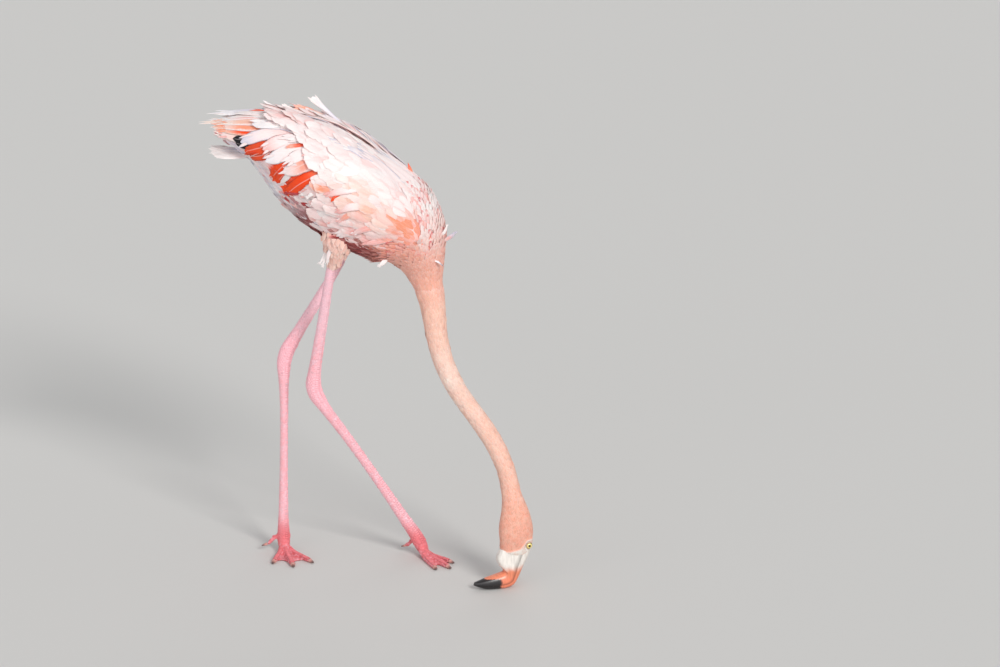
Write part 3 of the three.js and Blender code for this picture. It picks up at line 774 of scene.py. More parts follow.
# The eyelids: skin round each eye is cut finer, drawn over the eyeball and opened in the middle.
def shapeLids(mesh):
    bm = opened(mesh)
    inner, outer = (lids["open"] + step for step in lids["lip"])
    for eye in eyes.values():
        for reach in lids["finer"]:
            near = [edge for edge in bm.edges if all(
                (vert.co - eye["at"]).length < reach and (vert.co - eye["at"]).dot(eye["look"]) > 0
                for vert in edge.verts)]
            bmesh.ops.subdivide_edges(bm, edges=near, cuts=1, use_grid_fill=True)
            bmesh.ops.triangulate(bm, faces=[f for f in bm.faces if len(f.verts) > 4])
        for vert in bm.verts:
            off = vert.co - eye["at"]
            height = off.dot(eye["look"])
            ring = (off - eye["look"] * height).length
            if height < 0 or ring > lids["blend"] or off.length > lids["reach"]:
                continue
            ball = math.sqrt(max(eye["radius"] ** 2 - ring**2, 0))
            lid = math.sqrt(max((eye["radius"] + lids["thick"]) ** 2 - ring**2, 0))
            rise = float(smooth(inner, outer, ring))
            target = (ball - lids["hollow"]) * (1 - rise) + (lid + lids["over"]) * rise
            keep = float(smooth(lids["ring"] - lids["ringSoft"], lids["blend"], ring))
            wrinkle = lids["wrinkle"] * math.sin(ring / lids["wrinklePitch"]) * (1 - keep)
            if ring <= lids["open"] + lids["wrinkleFrom"]:
                wrinkle = 0
            vert.co += eye["look"] * ((target - height) * (1 - keep) + wrinkle)
    closed(bm, mesh)


def readFloats(mesh, name):
    values = np.empty(len(mesh.vertices), np.float32)
    mesh.attributes[name].data.foreach_get("value", values)
    return values.astype(float)


underCoat = np.array([0.92, 0.80, 0.80])  # how much redder and darker the skin is than its feathers
legZones = {"high": (0.34, 0.42), "foot": (0.03, 0.07)}  # heights
ankleSize = np.array([0.03, 0.022, 0.042])


# The bare parts' own colours, and the coat's under the feathers.
def paintSkin(mesh):
    points = coordsOf(mesh)
    coat = plumageTone(points)
    face = readFloats(mesh, "face")
    leg, foot = readFloats(mesh, "is_leg"), readFloats(mesh, "is_foot")
    fine, broad = cloud(points, 0.004, 3), cloud(points, 0.015, 5)
    colour = mixed(coat, coat * underCoat, np.full(len(points), 0.5))
    colour = mixed(colour, legTone(points), np.clip(leg / (leg + 0.15) * 1.2, 0, 1))
    toes = mixed(tones["foot"], tones["ankle"], np.clip(1.2 * (fine - 0.3), 0, 1))
    toes = mixed(toes, toes * 0.8, smooth(0.5, 0.8, broad))
    colour = mixed(colour, toes, np.clip(foot * 1.6, 0, 1))
    lores = mixed(tones["ivory"], tones["eyeRing"], np.clip(1.4 * (fine - 0.45), 0, 1))
    lores = mixed(lores, tones["billPink"], 0.35 * smooth(0.5, 0.75, broad))
    colour = mixed(colour, lores, face)
    ring = eyeDistance(points)
    colour = mixed(colour, tones["eyeRing"] * 0.85, (1 - smooth(0.0062, 0.0072, ring)) * face)
    colour = mixed(colour, tones["lidEdge"], (1 - smooth(0.0046, 0.0051, ring)) * face)
    setColour(mesh, "tint", colour)


def legTone(points):
    points = np.asarray(points)
    fine = cloud(points, 0.005, 9)
    colour = mixed(tones["legPink"], tones["legPale"], np.clip(0.35 + 1.3 * (fine - 0.5), 0, 1))
    colour = mixed(colour, tones["legPale"], 0.7 * smooth(*legZones["high"], points[:, 2]))
    for side in ("left", "right"):
        low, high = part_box("ankle_" + side)
        near = np.linalg.norm((points - np.array((low + high) / 2)) / ankleSize, axis=1)
        colour = mixed(colour, tones["ankle"], 0.8 * (1 - smooth(0.5, 1.3, near)))
    return mixed(colour, tones["foot"], 0.85 * (1 - smooth(*legZones["foot"], points[:, 2])))


skinMesh = buildSkin()
skin = addObject("flamingo_skin", skinMesh)
skinMesh.materials.clear()
skinMesh.materials.append(materials["skin"])
skinMesh.polygons.foreach_set("use_smooth", np.ones(len(skinMesh.polygons), bool))
skinMesh.update()
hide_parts(*sum(fleshOf.values(), []))
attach(skin, "root")
print("skin:", len(skinMesh.polygons), "faces")


# One thin closed vane, 1 long and 1 wide at its widest, with its barbs slanted towards the tip.
vanePlan = {"lean": 0.07, "notch": (0.45, 0.9), "notchDepth": 0.75, "body": 0.93, "slant": 0.24,
            "fold": 0.24, "point": 0.04, "sharp": 60}


def vaneShape(name, rows, across, outline, camber, curl, ragged, draw):
    places, columns = [], np.linspace(-1, 1, across)
    lean = draw.uniform(-vanePlan["lean"], vanePlan["lean"])
    notch = draw.uniform(*vanePlan["notch"])
    for row in range(rows + 1):
        y = row / rows
        half = 0.5 * np.interp(y, *zip(*outline))
        torn = [1 - ragged * draw.random() * (0.2 + 0.8 * y) for side in range(2)]
        if abs(y - notch) < 0.6 / rows:
            torn[draw.random() > 0.5] *= vanePlan["notchDepth"]
        for c in columns:
            x = c * half * torn[int(c > 0)]
            point = vanePlan["point"] * (1 - abs(c)) if row == rows else 0.0
            lengthwise = y * vanePlan["body"] + vanePlan["slant"] * abs(x) * (0.4 + 0.6 * y) + point
            z = camber * half * (1 - abs(c) ** 1.6) - curl * y * y - vanePlan["fold"] * x * x
            places.append((x + lean * y * y, lengthwise, z))
    faces = []
    for row in range(rows):
        a = row * across
        faces += [(a + k, a + k + 1, a + across + k + 1, a + across + k) for k in range(across - 1)]
        faces.append((a + across - 1, a, a + across, a + 2 * across - 1))
    faces.append(range(across - 1, -1, -1))
    faces.append([rows * across + k for k in range(across)])
    mesh = meshFrom(name, places, faces)
    setVaneUv(mesh, lambda v: (0.5 + 0.5 * columns[v % across], (v // across) / rows))
    return smoothShaded(mesh, vanePlan["sharp"])


def shapeCollection(name, count, **plan):
    collection = bpy.data.collections.new(name)
    draw = random.Random(name)
    for i in range(count):
        mesh = vaneShape(f"{name}_{i}", draw=draw, **plan)
        collection.objects.link(bpy.data.objects.new(f"{name}_{i}", mesh))
    return collection


roundVane = [(0, 0.26), (0.2, 0.7), (0.45, 0.97), (0.62, 1.0), (0.78, 0.86), (0.9, 0.58), (1, 0.2)]
softVane = [(0, 0.25), (0.25, 0.75), (0.5, 1.0), (0.7, 0.88), (0.86, 0.58), (1, 0.12)]
shapes = {
    name: shapeCollection(name, count, rows=rows, across=across, outline=outline, camber=camber, curl=curl,
                          ragged=ragged)
    for name, count, rows, across, outline, camber, curl, ragged in (
        ("down", 5, 3, 3, softVane, 0.16, 0.14, 0.3),
        ("neck", 6, 4, 3, softVane, 0.15, 0.14, 0.35),
        ("body", 8, 6, 5, softVane, 0.12, 0.14, 0.4),
        ("wing", 8, 9, 5, roundVane, 0.11, 0.12, 0.26))
}
shapeDraws = 8  # shapes are drawn from this many, which a smaller collection counts round
patchSize = 0.003  # each vane's patch on the bake map
scatter, vanes = scatterTree(), vaneTree()


# Where a point lands on the unwrap that the coat pieces share: round the body across, along it up.
def bakePlace(along, angle):
    return np.stack([0.5 + np.asarray(angle) / (2 * math.pi) * 0.98,
                     0.01 + 0.78 * np.asarray(along) / axisReach[-1], np.zeros(len(along))], axis=1)


def turnsFrom(across, forward, up):
    turns = []
    for x, y, z in zip(across, forward, up):
        turn = Matrix((x, y, z)).transposed().to_quaternion()
        turns.append((turn.w, turn.x, turn.y, turn.z))
    return np.array(turns)


# Sets feathers on roots: each has a place, the surface's normal, a lie, a size, a tilt and its colours.
def plant(name, kind, roots, slot, material="plumage"):
    forward, up = unit(roots["lie"]), unit(roots["normal"])
    forward = unit(forward - up * (forward * up).sum(1, keepdims=True))
    side = np.cross(forward, up)
    yaw, tilt, roll = (roots[key][:, None] for key in ("yaw", "tilt", "roll"))
    up = up * np.cos(roll) + side * np.sin(roll)
    side = np.cross(forward, up)
    forward = forward * np.cos(yaw) + side * np.sin(yaw)
    forward, up = (forward * np.cos(tilt) + up * np.sin(tilt), up * np.cos(tilt) - forward * np.sin(tilt))
    side = unit(np.cross(forward, up))
    up = np.cross(side, forward)
    mesh = meshFrom(name + "_roots", roots["at"], [])
    setVectors(mesh, "turn", turnsFrom(side, forward, up), "QUATERNION", "value")
    setVectors(mesh, "size", roots["size"])
    setVectors(mesh, "rootPlace", roots["bake"])
    for key in ("tint", "edge"):
        setColour(mesh, key, roots[key])
    for key in ("grain", "seed", "shaft"):
        setFloats(mesh, key, roots[key])
    count = len(roots["at"])
    shape = mesh.attributes.new("shape", "INT", "POINT")
    shape.data.foreach_set("value", rng.integers(0, shapeDraws, count).astype(np.int32))
    piece = scatter.run(name, mesh, {"Shapes": shapes[kind], "Scale": 1.0, "Patch": patchSize,
                                     "Material": materials[material]})
    keepPiece(piece, [], slot)
    print(name + ":", count, "set,", len(piece.data.polygons), "faces")


def keepPiece(piece, replaced, slot):
    if replaced:
        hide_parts(*replaced)
    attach(piece, "root")


# Points on part of the skin, no two nearer than the spacing, with the skin's values there.
def skinPoints(weight, spacing):
    skinMesh.calc_loop_triangles()
    corners = np.empty(len(skinMesh.loop_triangles) * 3, np.int32)
    skinMesh.loop_triangles.foreach_get("vertices", corners)
    corners = corners.reshape(-1, 3)
    corners = corners[weight[corners].min(1) > 0.5]
    points, normals = coordsOf(skinMesh), normalsOf(skinMesh)
    a, b, c = (points[corners[:, k]] for k in range(3))
    areas = np.linalg.norm(np.cross(b - a, c - a), axis=1) / 2
    tries = int(9 * areas.sum() / spacing**2)  # enough to fill the gaps between those kept
    chosen = rng.choice(len(corners), tries, p=areas / areas.sum())
    share = rng.dirichlet((1, 1, 1), tries)
    at, normal, depth = (sum(values[corners[chosen, k]] * share[:, k, None] for k in range(3))
                         for values in (points, normals, readFloats(skinMesh, "depth")[:, None]))
    finder = KDTree(tries)
    for i, p in enumerate(at):
        finder.insert(p, i)
    finder.balance()
    free = np.ones(tries, bool)
    kept = []
    for i in range(tries):
        if free[i]:
            kept.append(i)
            for _, other, _ in finder.find_range(at[i], spacing):
                free[other] = False
    kept = np.array(kept)
    return at[kept], unit(normal[kept]), depth[kept, 0]


thighLie = unit(np.array([-0.22, 0.06, -1.0]))
headEnd, neckEnd, backHalf = 0.085, 0.50, 1.5  # along the line, and round it from the back
shortRear = {"share": 0.45, "along": (0.84, 0.93)}  # feathers grow shorter under the tail

# Each tract: spacing, length and its growth along the line from a place, width as a share of the length.
tracts = {
    "head_feathers": {
        "kind": "down", "spacing": 0.0016, "length": 0.0042, "growth": 0.03, "ratio": 0.55, "grain": 7.0,
        "vary": 0.05, "paleEdge": 0.18, "shaft": 0.0, "slot": "neck_plumage"},
    "neck_feathers": {
        "kind": "neck", "spacing": 0.0027, "length": 0.008, "growth": 0.018, "ratio": 0.48, "grain": 9.0,
        "vary": 0.045, "paleEdge": 0.3, "shaft": 0.0, "slot": "neck_plumage"},
    "breast_and_belly_feathers": {
        "spacing": 0.0049, "length": 0.018, "growth": 0.045, "from": neckEnd, "ratio": 0.46, "grain": 14.0,
        "paleEdge": 0.3, "redShare": 0.08, "yaw": 0.16},
    "mantle_feathers": {
        "spacing": 0.0047, "length": 0.020, "growth": 0.055, "from": neckEnd, "ratio": 0.46, "grain": 14.0,
        "paleEdge": 0.4, "redShare": 0.12, "yaw": 0.10},
    "thigh_feathers": {
        "spacing": 0.0046, "length": 0.018, "growth": 0.0, "ratio": 0.46, "grain": 12.0, "onThigh": True,
        "paleEdge": 0.3, "yaw": 0.2},
}


def bodyTract(name, weight, plan):
    at, normal, depth = skinPoints(weight, plan["spacing"])
    index, along, angle = placeOnAxis(at)
    count = len(at)
    onThigh = plan.get("onThigh", False)
    lie = np.tile(thighLie, (count, 1)) if onThigh else axisBack[index]
    length = plan["length"] + plan["growth"] * (along - plan.get("from", 0))
    shorter = 1 - shortRear["share"] * smooth(*shortRear["along"], along)
    length = length * rng.uniform(0.86, 1.14, count) * shorter
    width = length * plan["ratio"] * rng.uniform(0.9, 1.1, count)
    rise = np.maximum(depth, 0.0006)
    tint = plumageTone(at + lie * length[:, None] * 0.6)
    if onThigh:
        tint = mixed(tones["breast"], tones["neckPale"], 0.7 * cloud(at, 0.008, 2))
    level = rng.normal(1, plan.get("vary", 0.03), (count, 1)) * (1 + rng.normal(0, 0.008, (count, 3)))
    tint = np.clip(tint * level, 0, 1)
    edge = mixed(tint, tones["white"], plan["paleEdge"] * smooth(0.12, 0.5, tint[:, 1]))
    streaked = rng.random(count) < plan.get("redShare", 0) * smooth(0.5, 0.56, along)
    edge[streaked] = mixed(tones["red"], tones["blush"], rng.random(streaked.sum()) * 0.9)
    plant(name, plan.get("kind", "body"), {
        "at": at, "normal": normal, "lie": lie, "tilt": np.arcsin(np.clip(rise / length + 0.01, 0, 0.35)),
        "yaw": rng.normal(0, plan.get("yaw", 0.12), count), "roll": rng.normal(0, 0.05, count),
        "size": np.stack([width, length, width], axis=1), "tint": tint, "edge": edge,
        "bake": bakePlace(along, angle), "grain": np.full(count, plan["grain"]),
        "seed": rng.random(count), "shaft": np.full(count, plan.get("shaft", 0.15)),
    }, plan.get("slot", "body_plumage"))


skinAlong, skinAngle = placeOnAxis(coordsOf(skinMesh))[1:]
coated = 1 - np.clip(readFloats(skinMesh, "bare") * 1.6, 0, 1)
isWing, isThigh = readFloats(skinMesh, "is_wing") >= 0.5, readFloats(skinMesh, "is_thigh") >= 0.5
offWing = coated * ~isWing * (readFloats(skinMesh, "is_leg") < 0.3)
onTrunk = offWing * (skinAlong >= neckEnd) * ~isThigh
onBack = np.abs(skinAngle) <= backHalf
grounds = {
    "head_feathers": offWing * (skinAlong < headEnd),
    "neck_feathers": offWing * (skinAlong >= headEnd) * (skinAlong < neckEnd + 0.01),
    "breast_and_belly_feathers": onTrunk * ~onBack,
    "mantle_feathers": onTrunk * onBack,
    "thigh_feathers": coated * isThigh,
}
for name, plan in tracts.items():
    bodyTract(name, grounds[name], plan)


wingEdges = {  # by x: the angles from the back's midline that the folded wing covers
    "x": [-0.2696, -0.2036, -0.1586, -0.1086, -0.0586, -0.0086, 0.0364, 0.0644, 0.0814],
    "from": [8, 3, 4, 8, 15, 22, 32, 42, 56], "to": [100, 108, 112, 114, 118, 122, 124, 116, 102],
}
coverEnd = {"angle": [0, 25, 32, 40, 50, 62, 75, 90, 120],  # how far back the rows go, by angle
            "x": [-0.150, -0.150, -0.128, -0.110, -0.092, -0.076, -0.060, -0.048, -0.042]}
# Wing coverts, in rows that grow longer towards the rear.
covertPlan = {
    "front": 0.080, "rear": -0.150, "length": (0.021, 0.060), "longer": 0.85, "ratio": (0.56, 0.40),
    "sink": 0.0026, "rise": 0.0006, "step": 0.21, "pitch": 0.46, "roll": 0.02, "jitter": 0.16,
    "turnJitter": 0.022, "outward": 0.9, "droop": (0.12, 0.24), "grain": (16, 26),
}


def wingLimits(x):
    return [math.radians(np.interp(x, wingEdges["x"], wingEdges[key])) for key in ("from", "to")]


def covertPlaces(left, plan):
    x = plan["front"]
    while x > plan["rear"]:
        share = (plan["front"] - x) / (plan["front"] - plan["rear"])
        length = np.interp(share**plan["longer"], (0, 1), plan["length"])
        width = length * np.interp(share, (0, 1), plan["ratio"])
        index = indexAtX(x)
        low, high = wingLimits(x)
        arc = [outside(index, left * a)[0] for a in np.linspace(low, high, 9)]
        reach = sum(np.linalg.norm(b - a) for a, b in zip(arc, arc[1:]))
        count = max(int(reach / (width * plan["pitch"])), 2)
        rowShift = rng.random()
        for i in range(count + 1):
            part = (i + rowShift) / count
            angle = low + (high - low) * part
            if part > 1.02 or x < np.interp(math.degrees(angle), coverEnd["angle"], coverEnd["x"]):
                continue
            moved = indexAtX(x + rng.uniform(-plan["jitter"], plan["jitter"]) * length)
            turned = left * (angle + rng.normal(0, plan["turnJitter"]))
            point, normal = outside(moved, turned)
            normal = unit(normal + plan["outward"] * outwards(moved, turned))
            yield point, normal, moved, angle, length, width, share, part
        x -= length * plan["step"] * abs(axisBack[index][0])


def wingCoverts(side):
    left, plan = 1 if side == "left" else -1, covertPlan
    point, normal, index, angle, length, width, share, part = (
        np.array(values) for values in zip(*covertPlaces(left, plan)))
    count = len(point)
    droop = plan["droop"][0] + plan["droop"][1] * smooth(0.5, 1.0, part) * (1 - 0.5 * share)
    lie = unit(axisBack[index] + np.array([0, 0, -1.0]) * droop[:, None])
    length = length * rng.uniform(0.88, 1.12, count)
    tint = covertTone(point + lie * length[:, None] * 0.62)
    tint = np.clip(tint * rng.normal(1, 0.018, (count, 1)), 0, 1)
    edge = mixed(tint, tones["white"], rng.uniform(0.05, 0.7, count) * (0.3 + 0.7 * smooth(0.05, 0.3, share)))
    plant("wing_coverts_" + side, "wing", {
        "at": point - normal * plan["sink"], "normal": normal, "lie": lie,
        "tilt": np.arcsin(np.clip((plan["sink"] + plan["rise"]) / length + 0.01, 0, 0.5)),
        "yaw": rng.normal(0, 0.08, count), "roll": rng.normal(-left * plan["roll"], 0.05, count),
        "size": np.stack([width, length, width], axis=1), "tint": tint, "edge": edge,
        "bake": bakePlace(axisReach[index], left * angle),
        "grain": plan["grain"][0] + plan["grain"][1] * share,
        "seed": rng.random(count), "shaft": np.full(count, 0.15),
    }, "wing_coverts")


def bell(x, middle, width):
    return np.exp(-((x - middle) / width) ** 2)


# The wing's own markings: spots have a middle and a width in x, and the same in degrees from the back.
covertLook = {"bright": ((-0.012, 0.06), (58, 20)), "peach": ((-0.004, 0.04), (79, 18)),
              "low": (84, 106), "front": (0.052, 0.074)}


def covertTone(points):
    index, along, angle = placeOnAxis(points)
    radius = np.linalg.norm(points - axisAt[index], axis=1)
    turn, x = np.degrees(np.abs(angle)), points[:, 0]
    broad, fine = cloud(points, 0.017, 11), cloud(points, 0.009, 4)
    bright, peach = (bell(x, *covertLook[spot][0]) * bell(turn, *covertLook[spot][1])
                     for spot in ("bright", "peach"))
    colour = mixed(tones["mantle"], tones["palePink"], broad)
    white = smooth(0.45, 0.75, 0.6 * broad + 0.6 * bright) * (0.75 + 0.25 * fine)
    colour = mixed(colour, tones["white"], white)
    colour = mixed(colour, tones["peach"], peach * smooth(0.15, 0.45, fine))
    colour = mixed(colour, tones["blush"], 0.55 * smooth(0.50, 0.72, fine) * (1 - bright))
    low = smooth(*covertLook["low"], turn)
    colour = mixed(colour, tones["blush"], low * (0.3 + 0.55 * smooth(0.40, 0.62, fine)))
    colour = mixed(colour, plumageTone(points), smooth(*covertLook["front"], x))
    return patchTone(colour, along, angle, radius)


for side in ("right", "left"):
    wingCoverts(side)


# Long feathers, laid along the plumage's outside.
vaneOutlines = {
    "long": [(0, 0.3), (0.10, 0.62), (0.25, 0.90), (0.5, 1.0), (0.75, 0.96), (0.88, 0.80), (0.96, 0.5),
             (1, 0.12)],
    "lance": [(0, 0.3), (0.15, 0.8), (0.4, 1.0), (0.65, 0.86), (0.85, 0.5), (1, 0.08)],
    "spoon": [(0, 0.22), (0.45, 0.34), (0.7, 0.55), (0.85, 1.0), (0.95, 0.86), (1, 0.3)],
    "lobe": [(0, 0.6), (0.35, 1.0), (0.7, 0.7), (1, 0.08)],
}
# How a tip splits: the path is cut in steps, lobes root on three of them and reach a share of its length.
frayPlan = {"steps": 20, "root": 14, "roots": 3, "jitter": 0.15, "reach": (0.16, 0.26), "outer": 0.3,
            "turn": 0.4, "lift": (-0.04, 0.05), "bulge": 0.02, "width": (0.22, 0.34), "grain": 20,
            "points": 5}


def resampled(values, count):
    values = np.array(values, float)
    if len(values) == 1:
        return np.repeat(values, count, axis=0)
    at = np.linspace(0, len(values) - 1, count)
    return np.stack([np.interp(at, range(len(values)), column) for column in values.T], axis=1)


def shades(names):
    return np.array([tones[name] for name in names.split()])


class LongFeathers:  # chains of points that the tree sweeps into one piece of long vanes
    def __init__(self):
        self.chains = []

    def add(self, path, facing, halfWidth, outline, tint, edge, grain=60, shaft=0.35, count=14):
        at = np.linspace(0, 1, count)
        width = halfWidth * np.interp(at, *zip(*vaneOutlines[outline]))
        width *= 1 - 0.12 * rng.random(count) * smooth(0.3, 0.9, at)
        self.chains.append({"path": resampled(path, count), "facing": unit(resampled(facing, count)),
                            "width": width, "tint": resampled(tint, count), "edge": resampled(edge, count),
                            "grain": grain, "shaft": shaft, "seed": rng.random()})

    # A vane whose tip is split into a few narrow lobes.
    def addFrayed(self, path, facing, halfWidth, outline, tint, edge, lobes, spread):
        self.add(path, facing, halfWidth, outline, tint, edge)
        plan = frayPlan
        path, facing = resampled(path, plan["steps"]), unit(resampled(facing, plan["steps"]))
        ahead = unit(path[-1] - path[-4])
        across = unit(np.cross(ahead, facing[-1]))
        length = np.linalg.norm(np.diff(path, axis=0), axis=1).sum()
        for k in range(lobes):
            place = (k + 0.5) / lobes * 2 - 1 + rng.uniform(-plan["jitter"], plan["jitter"])
            start = path[plan["root"] + int(rng.integers(0, plan["roots"]))]
            start = start + across * halfWidth * 0.5 * place
            reach = length * rng.uniform(*plan["reach"]) * (1 - plan["outer"] * abs(place))
            lift = facing[-1] * rng.uniform(*plan["lift"])
            way = unit(ahead + across * place * spread * plan["turn"] + lift)
            end = start + way * reach
            middle = (start + end) / 2 + facing[-1] * reach * plan["bulge"]
            self.add(np.array([start, middle, end]), facing[-3:], halfWidth * rng.uniform(*plan["width"]),
                     "lobe", tint[-1:], edge[-1:], plan["grain"], 0, plan["points"])

    def make(self, name, replaced, slot, thickness=0.07, camber=0.12):
        points, edges = [], []
        values = {k: [] for k in ("facing", "width", "tint", "edge", "grain", "shaft", "seed", "root")}
        for chain in self.chains:
            first, count = len(points), len(chain["path"])
            points += list(chain["path"])
            edges += [(first + i, first + i + 1) for i in range(count - 1)]
            for key in ("facing", "width", "tint", "edge"):
                values[key] += list(chain[key])
            for key in ("grain", "shaft", "seed"):
                values[key] += [chain[key]] * count
            along, angle = placeOnAxis(chain["path"][:1])[1:]
            values["root"] += [bakePlace(along, angle)[0]] * count
        mesh = meshFrom(name + "_lines", points, [], edges)
        setVectors(mesh, "facing", values["facing"])
        setVectors(mesh, "rootPlace", values["root"])
        for key in ("tint", "edge"):
            setColour(mesh, key, np.array(values[key]))
        setFloats(mesh, "halfWidth", values["width"])
        for key in ("grain", "shaft", "seed"):
            setFloats(mesh, key, values[key])
        piece = vanes.run(name, mesh, {"Thickness": thickness, "Camber": camber, "Patch": patchSize,
                                       "Material": materials["plumage"]})
        keepPiece(piece, replaced, slot)
        print(name + ":", len(self.chains), "vanes,", len(piece.data.polygons), "faces")


laidPlan = {"steps": 14, "roll": 0.12, "followShape": 0.5, "evenings": 4}


# A path over the plumage through places given by x and the angle from the back's midline. Each vane's lower
# edge stands out a little, so that it lies over its neighbour below. A bridge gives angles to both sides,
# and the path then runs over the highest of them.
def laidPath(left, marks, lift, roll=laidPlan["roll"], bridge=()):
    path, facing, steps = [], [], laidPlan["steps"]
    for t, (x, turn) in zip(np.linspace(0, 1, steps), smoothLine(marks, steps)):
        index, angle = indexAtX(x), left * math.radians(turn)
        point, normal = outside(index, angle)
        out = outwards(index, angle)
        if bridge:
            over = max(np.linalg.norm(outside(index, angle + turn)[0] - axisAt[index]) for turn in bridge)
            point, normal = axisAt[index] + out * over, out
        lower = left * (axisLeft[index] * math.cos(angle) - axisUp[index] * math.sin(angle))
        face = unit(laidPlan["followShape"] * unit(normal) + out)
        path.append(point + face * (lift[0] + (lift[1] - lift[0]) * t))
        facing.append(unit(face * math.cos(roll) - lower * math.sin(roll)))
    path, facing = np.array(path), np.array(facing)
    for _ in range(laidPlan["evenings"]):
        path[1:-1] = (path[:-2] + 2 * path[1:-1] + path[2:]) / 4
        facing[1:-1] = unit((facing[:-2] + 2 * facing[1:-1] + facing[2:]) / 4)
    return path, facing


# The folded wing's large feathers, lowest layer first. Marks are x and angle; tones run from root to tip.
wingLayers = {
    # Lilac on the secondaries is partly painted shade on white feathers.
    "secondaries": {"lift": (-0.0035, -0.0012), "outline": "long", "lobes": 3, "list": [
        [((-0.015, 130), (-0.050, 141), (-0.088, 141)), 0.0075, "blush palePink palePink", "lilac white"],
        [((-0.035, 124), (-0.075, 136), (-0.115, 135)), 0.0080, "palePink lilac greyWhite", "lilac white"],
        [((-0.060, 124), (-0.100, 131), (-0.140, 129)), 0.0080, "palePink blush palePink", "lilac white"],
        [((-0.085, 120), (-0.130, 125), (-0.166, 121)), 0.0085, "lilac greyWhite palePink", "white lilac"],
        [((-0.050, 108), (-0.085, 117), (-0.118, 124)), 0.0085, "palePink palePink blush", "blush white"],
        [((-0.100, 112), (-0.150, 116), (-0.186, 108)), 0.0085, "greyWhite lilac palePink", "white white"],
        [((-0.150, 112), (-0.195, 106), (-0.225, 96), (-0.246, 80)), 0.0042, "palePink neckPale white",
         "white neckPale"]]},
    "black": {"lift": (-0.0045, -0.0010), "outline": "long", "lobes": 0, "list": [
        [((-0.150, 64), (-0.190, 71), (-0.221, 77)), 0.0075, "black black", "black black"],
        [((-0.150, 74), (-0.190, 81), (-0.213, 84)), 0.0060, "black black", "black black"]]},
    "orange": {"lift": (-0.0030, 0.0004), "outline": "long", "lobes": 2, "list": [
        # The two rearmost orange feathers carry painted shade in their darker orange.
        [((-0.130, 42), (-0.168, 68), (-0.1965, 92)), 0.0120, "orangeSoft orangeDeep orangeDeep",
         "orangeDeep"],
        [((-0.140, 60), (-0.170, 84), (-0.190, 101)), 0.0090, "orangeSoft orangeDeep orangeDeep",
         "orangeDeep"],
        [((-0.105, 50), (-0.134, 79), (-0.1440, 116)), 0.0125, "orangeSoft orange orange", "orange orange"],
        [((-0.110, 66), (-0.128, 92), (-0.1340, 118)), 0.0090, "orange orange orange", "orange orange"],
        [((-0.070, 60), (-0.097, 84), (-0.1130, 119)), 0.0125, "orangeSoft orange orange", "orange orange"],
        [((-0.040, 64), (-0.070, 82), (-0.0960, 99)), 0.0065, "orangeSoft orange orange",
         "orangeSoft orange"],
        [((-0.084, 112), (-0.100, 120), (-0.1180, 124)), 0.0026, "darkRed darkRed", "red darkRed"]]},
    "greater": {"lift": (-0.0028, 0.0024), "outline": "long", "lobes": 3, "list": [
        [((0.010, 94), (-0.008, 110), (-0.020, 127)), 0.0110, "palePink blush palePink", "white palePink"],
        [((-0.008, 84), (-0.025, 102), (-0.038, 122)), 0.0120, "palePink palePink blush", "white palePink"],
        [((-0.024, 72), (-0.0467, 93), (-0.058, 118)), 0.0130, "white palePink palePink", "white white"],
        [((-0.040, 56), (-0.0724, 79), (-0.092, 107)), 0.0135, "white palePink blush", "white palePink"],
        [((-0.055, 42), (-0.102, 63), (-0.130, 90)), 0.0140, "palePink blush wrist palePink",
         "blush palePink"],
        [((-0.080, 34), (-0.128, 55), (-0.160, 89)), 0.0140, "white palePink palePink", "white greyWhite"],
        [((-0.072, 36), (-0.115, 58), (-0.132, 74)), 0.0120, "white palePink palePink", "white palePink"],
        [((-0.104, 45), (-0.126, 52), (-0.142, 60)), 0.0042, "orangeSoft orange wrist", "palePink peach"],
        [((-0.095, 30), (-0.150, 53), (-0.172, 75)), 0.0125, "white palePink palePink", "palePink blush"],
        [((-0.048, 86), (-0.076, 97), (-0.096, 104)), 0.0045, "blush palePink white", "palePink white"],
        [((-0.110, 26), (-0.174, 50), (-0.205, 78)), 0.0112, "blush mantle mantle", "palePink lilac"],
        [((-0.100, 52), (-0.118, 80), (-0.1285, 112)), 0.0050, "palePink white white", "white white"],
        [((-0.105, 18), (-0.160, 28), (-0.198, 42)), 0.0130, "palePink white white", "white greyWhite"]]},
    "median": {"lift": (-0.0022, 0.0034), "outline": "lance", "lobes": 3, "list": [
        [((0.000, 72), (-0.022, 84), (-0.038, 98)), 0.0080, "peach palePink blush", "palePink blush"],
        [((-0.015, 60), (-0.042, 72), (-0.062, 88)), 0.0090, "white palePink blush", "palePink blush"],
        [((-0.030, 48), (-0.062, 60), (-0.088, 76)), 0.0120, "white white palePink", "white white"],
        [((-0.050, 36), (-0.085, 47), (-0.118, 62)), 0.0125, "white palePink palePink", "white blush"],
        [((-0.072, 28), (-0.115, 38), (-0.150, 52)), 0.0125, "white palePink palePink", "white white"],
        [((-0.085, 20), (-0.132, 26), (-0.170, 36)), 0.0120, "palePink white white", "white white"],
        [((-0.038, 70), (-0.0465, 79), (-0.0515, 88)), 0.0035, "orangeSoft orange orange", "peach orange"],
        [((-0.094, 107), (-0.105, 114), (-0.117, 119)), 0.0026, "darkRed darkRed", "red darkRed"],
        [((-0.008, 82), (-0.022, 96), (-0.031, 110)), 0.0060, "palePink wrist blush", "blush palePink"],
        [((0.022, 88), (0.007, 101), (-0.004, 115)), 0.0065, "wrist blush palePink", "palePink blush"],
        [((0.046, 92), (0.034, 105), (0.022, 118)), 0.0060, "wrist blush blush", "palePink blush"]]},
}
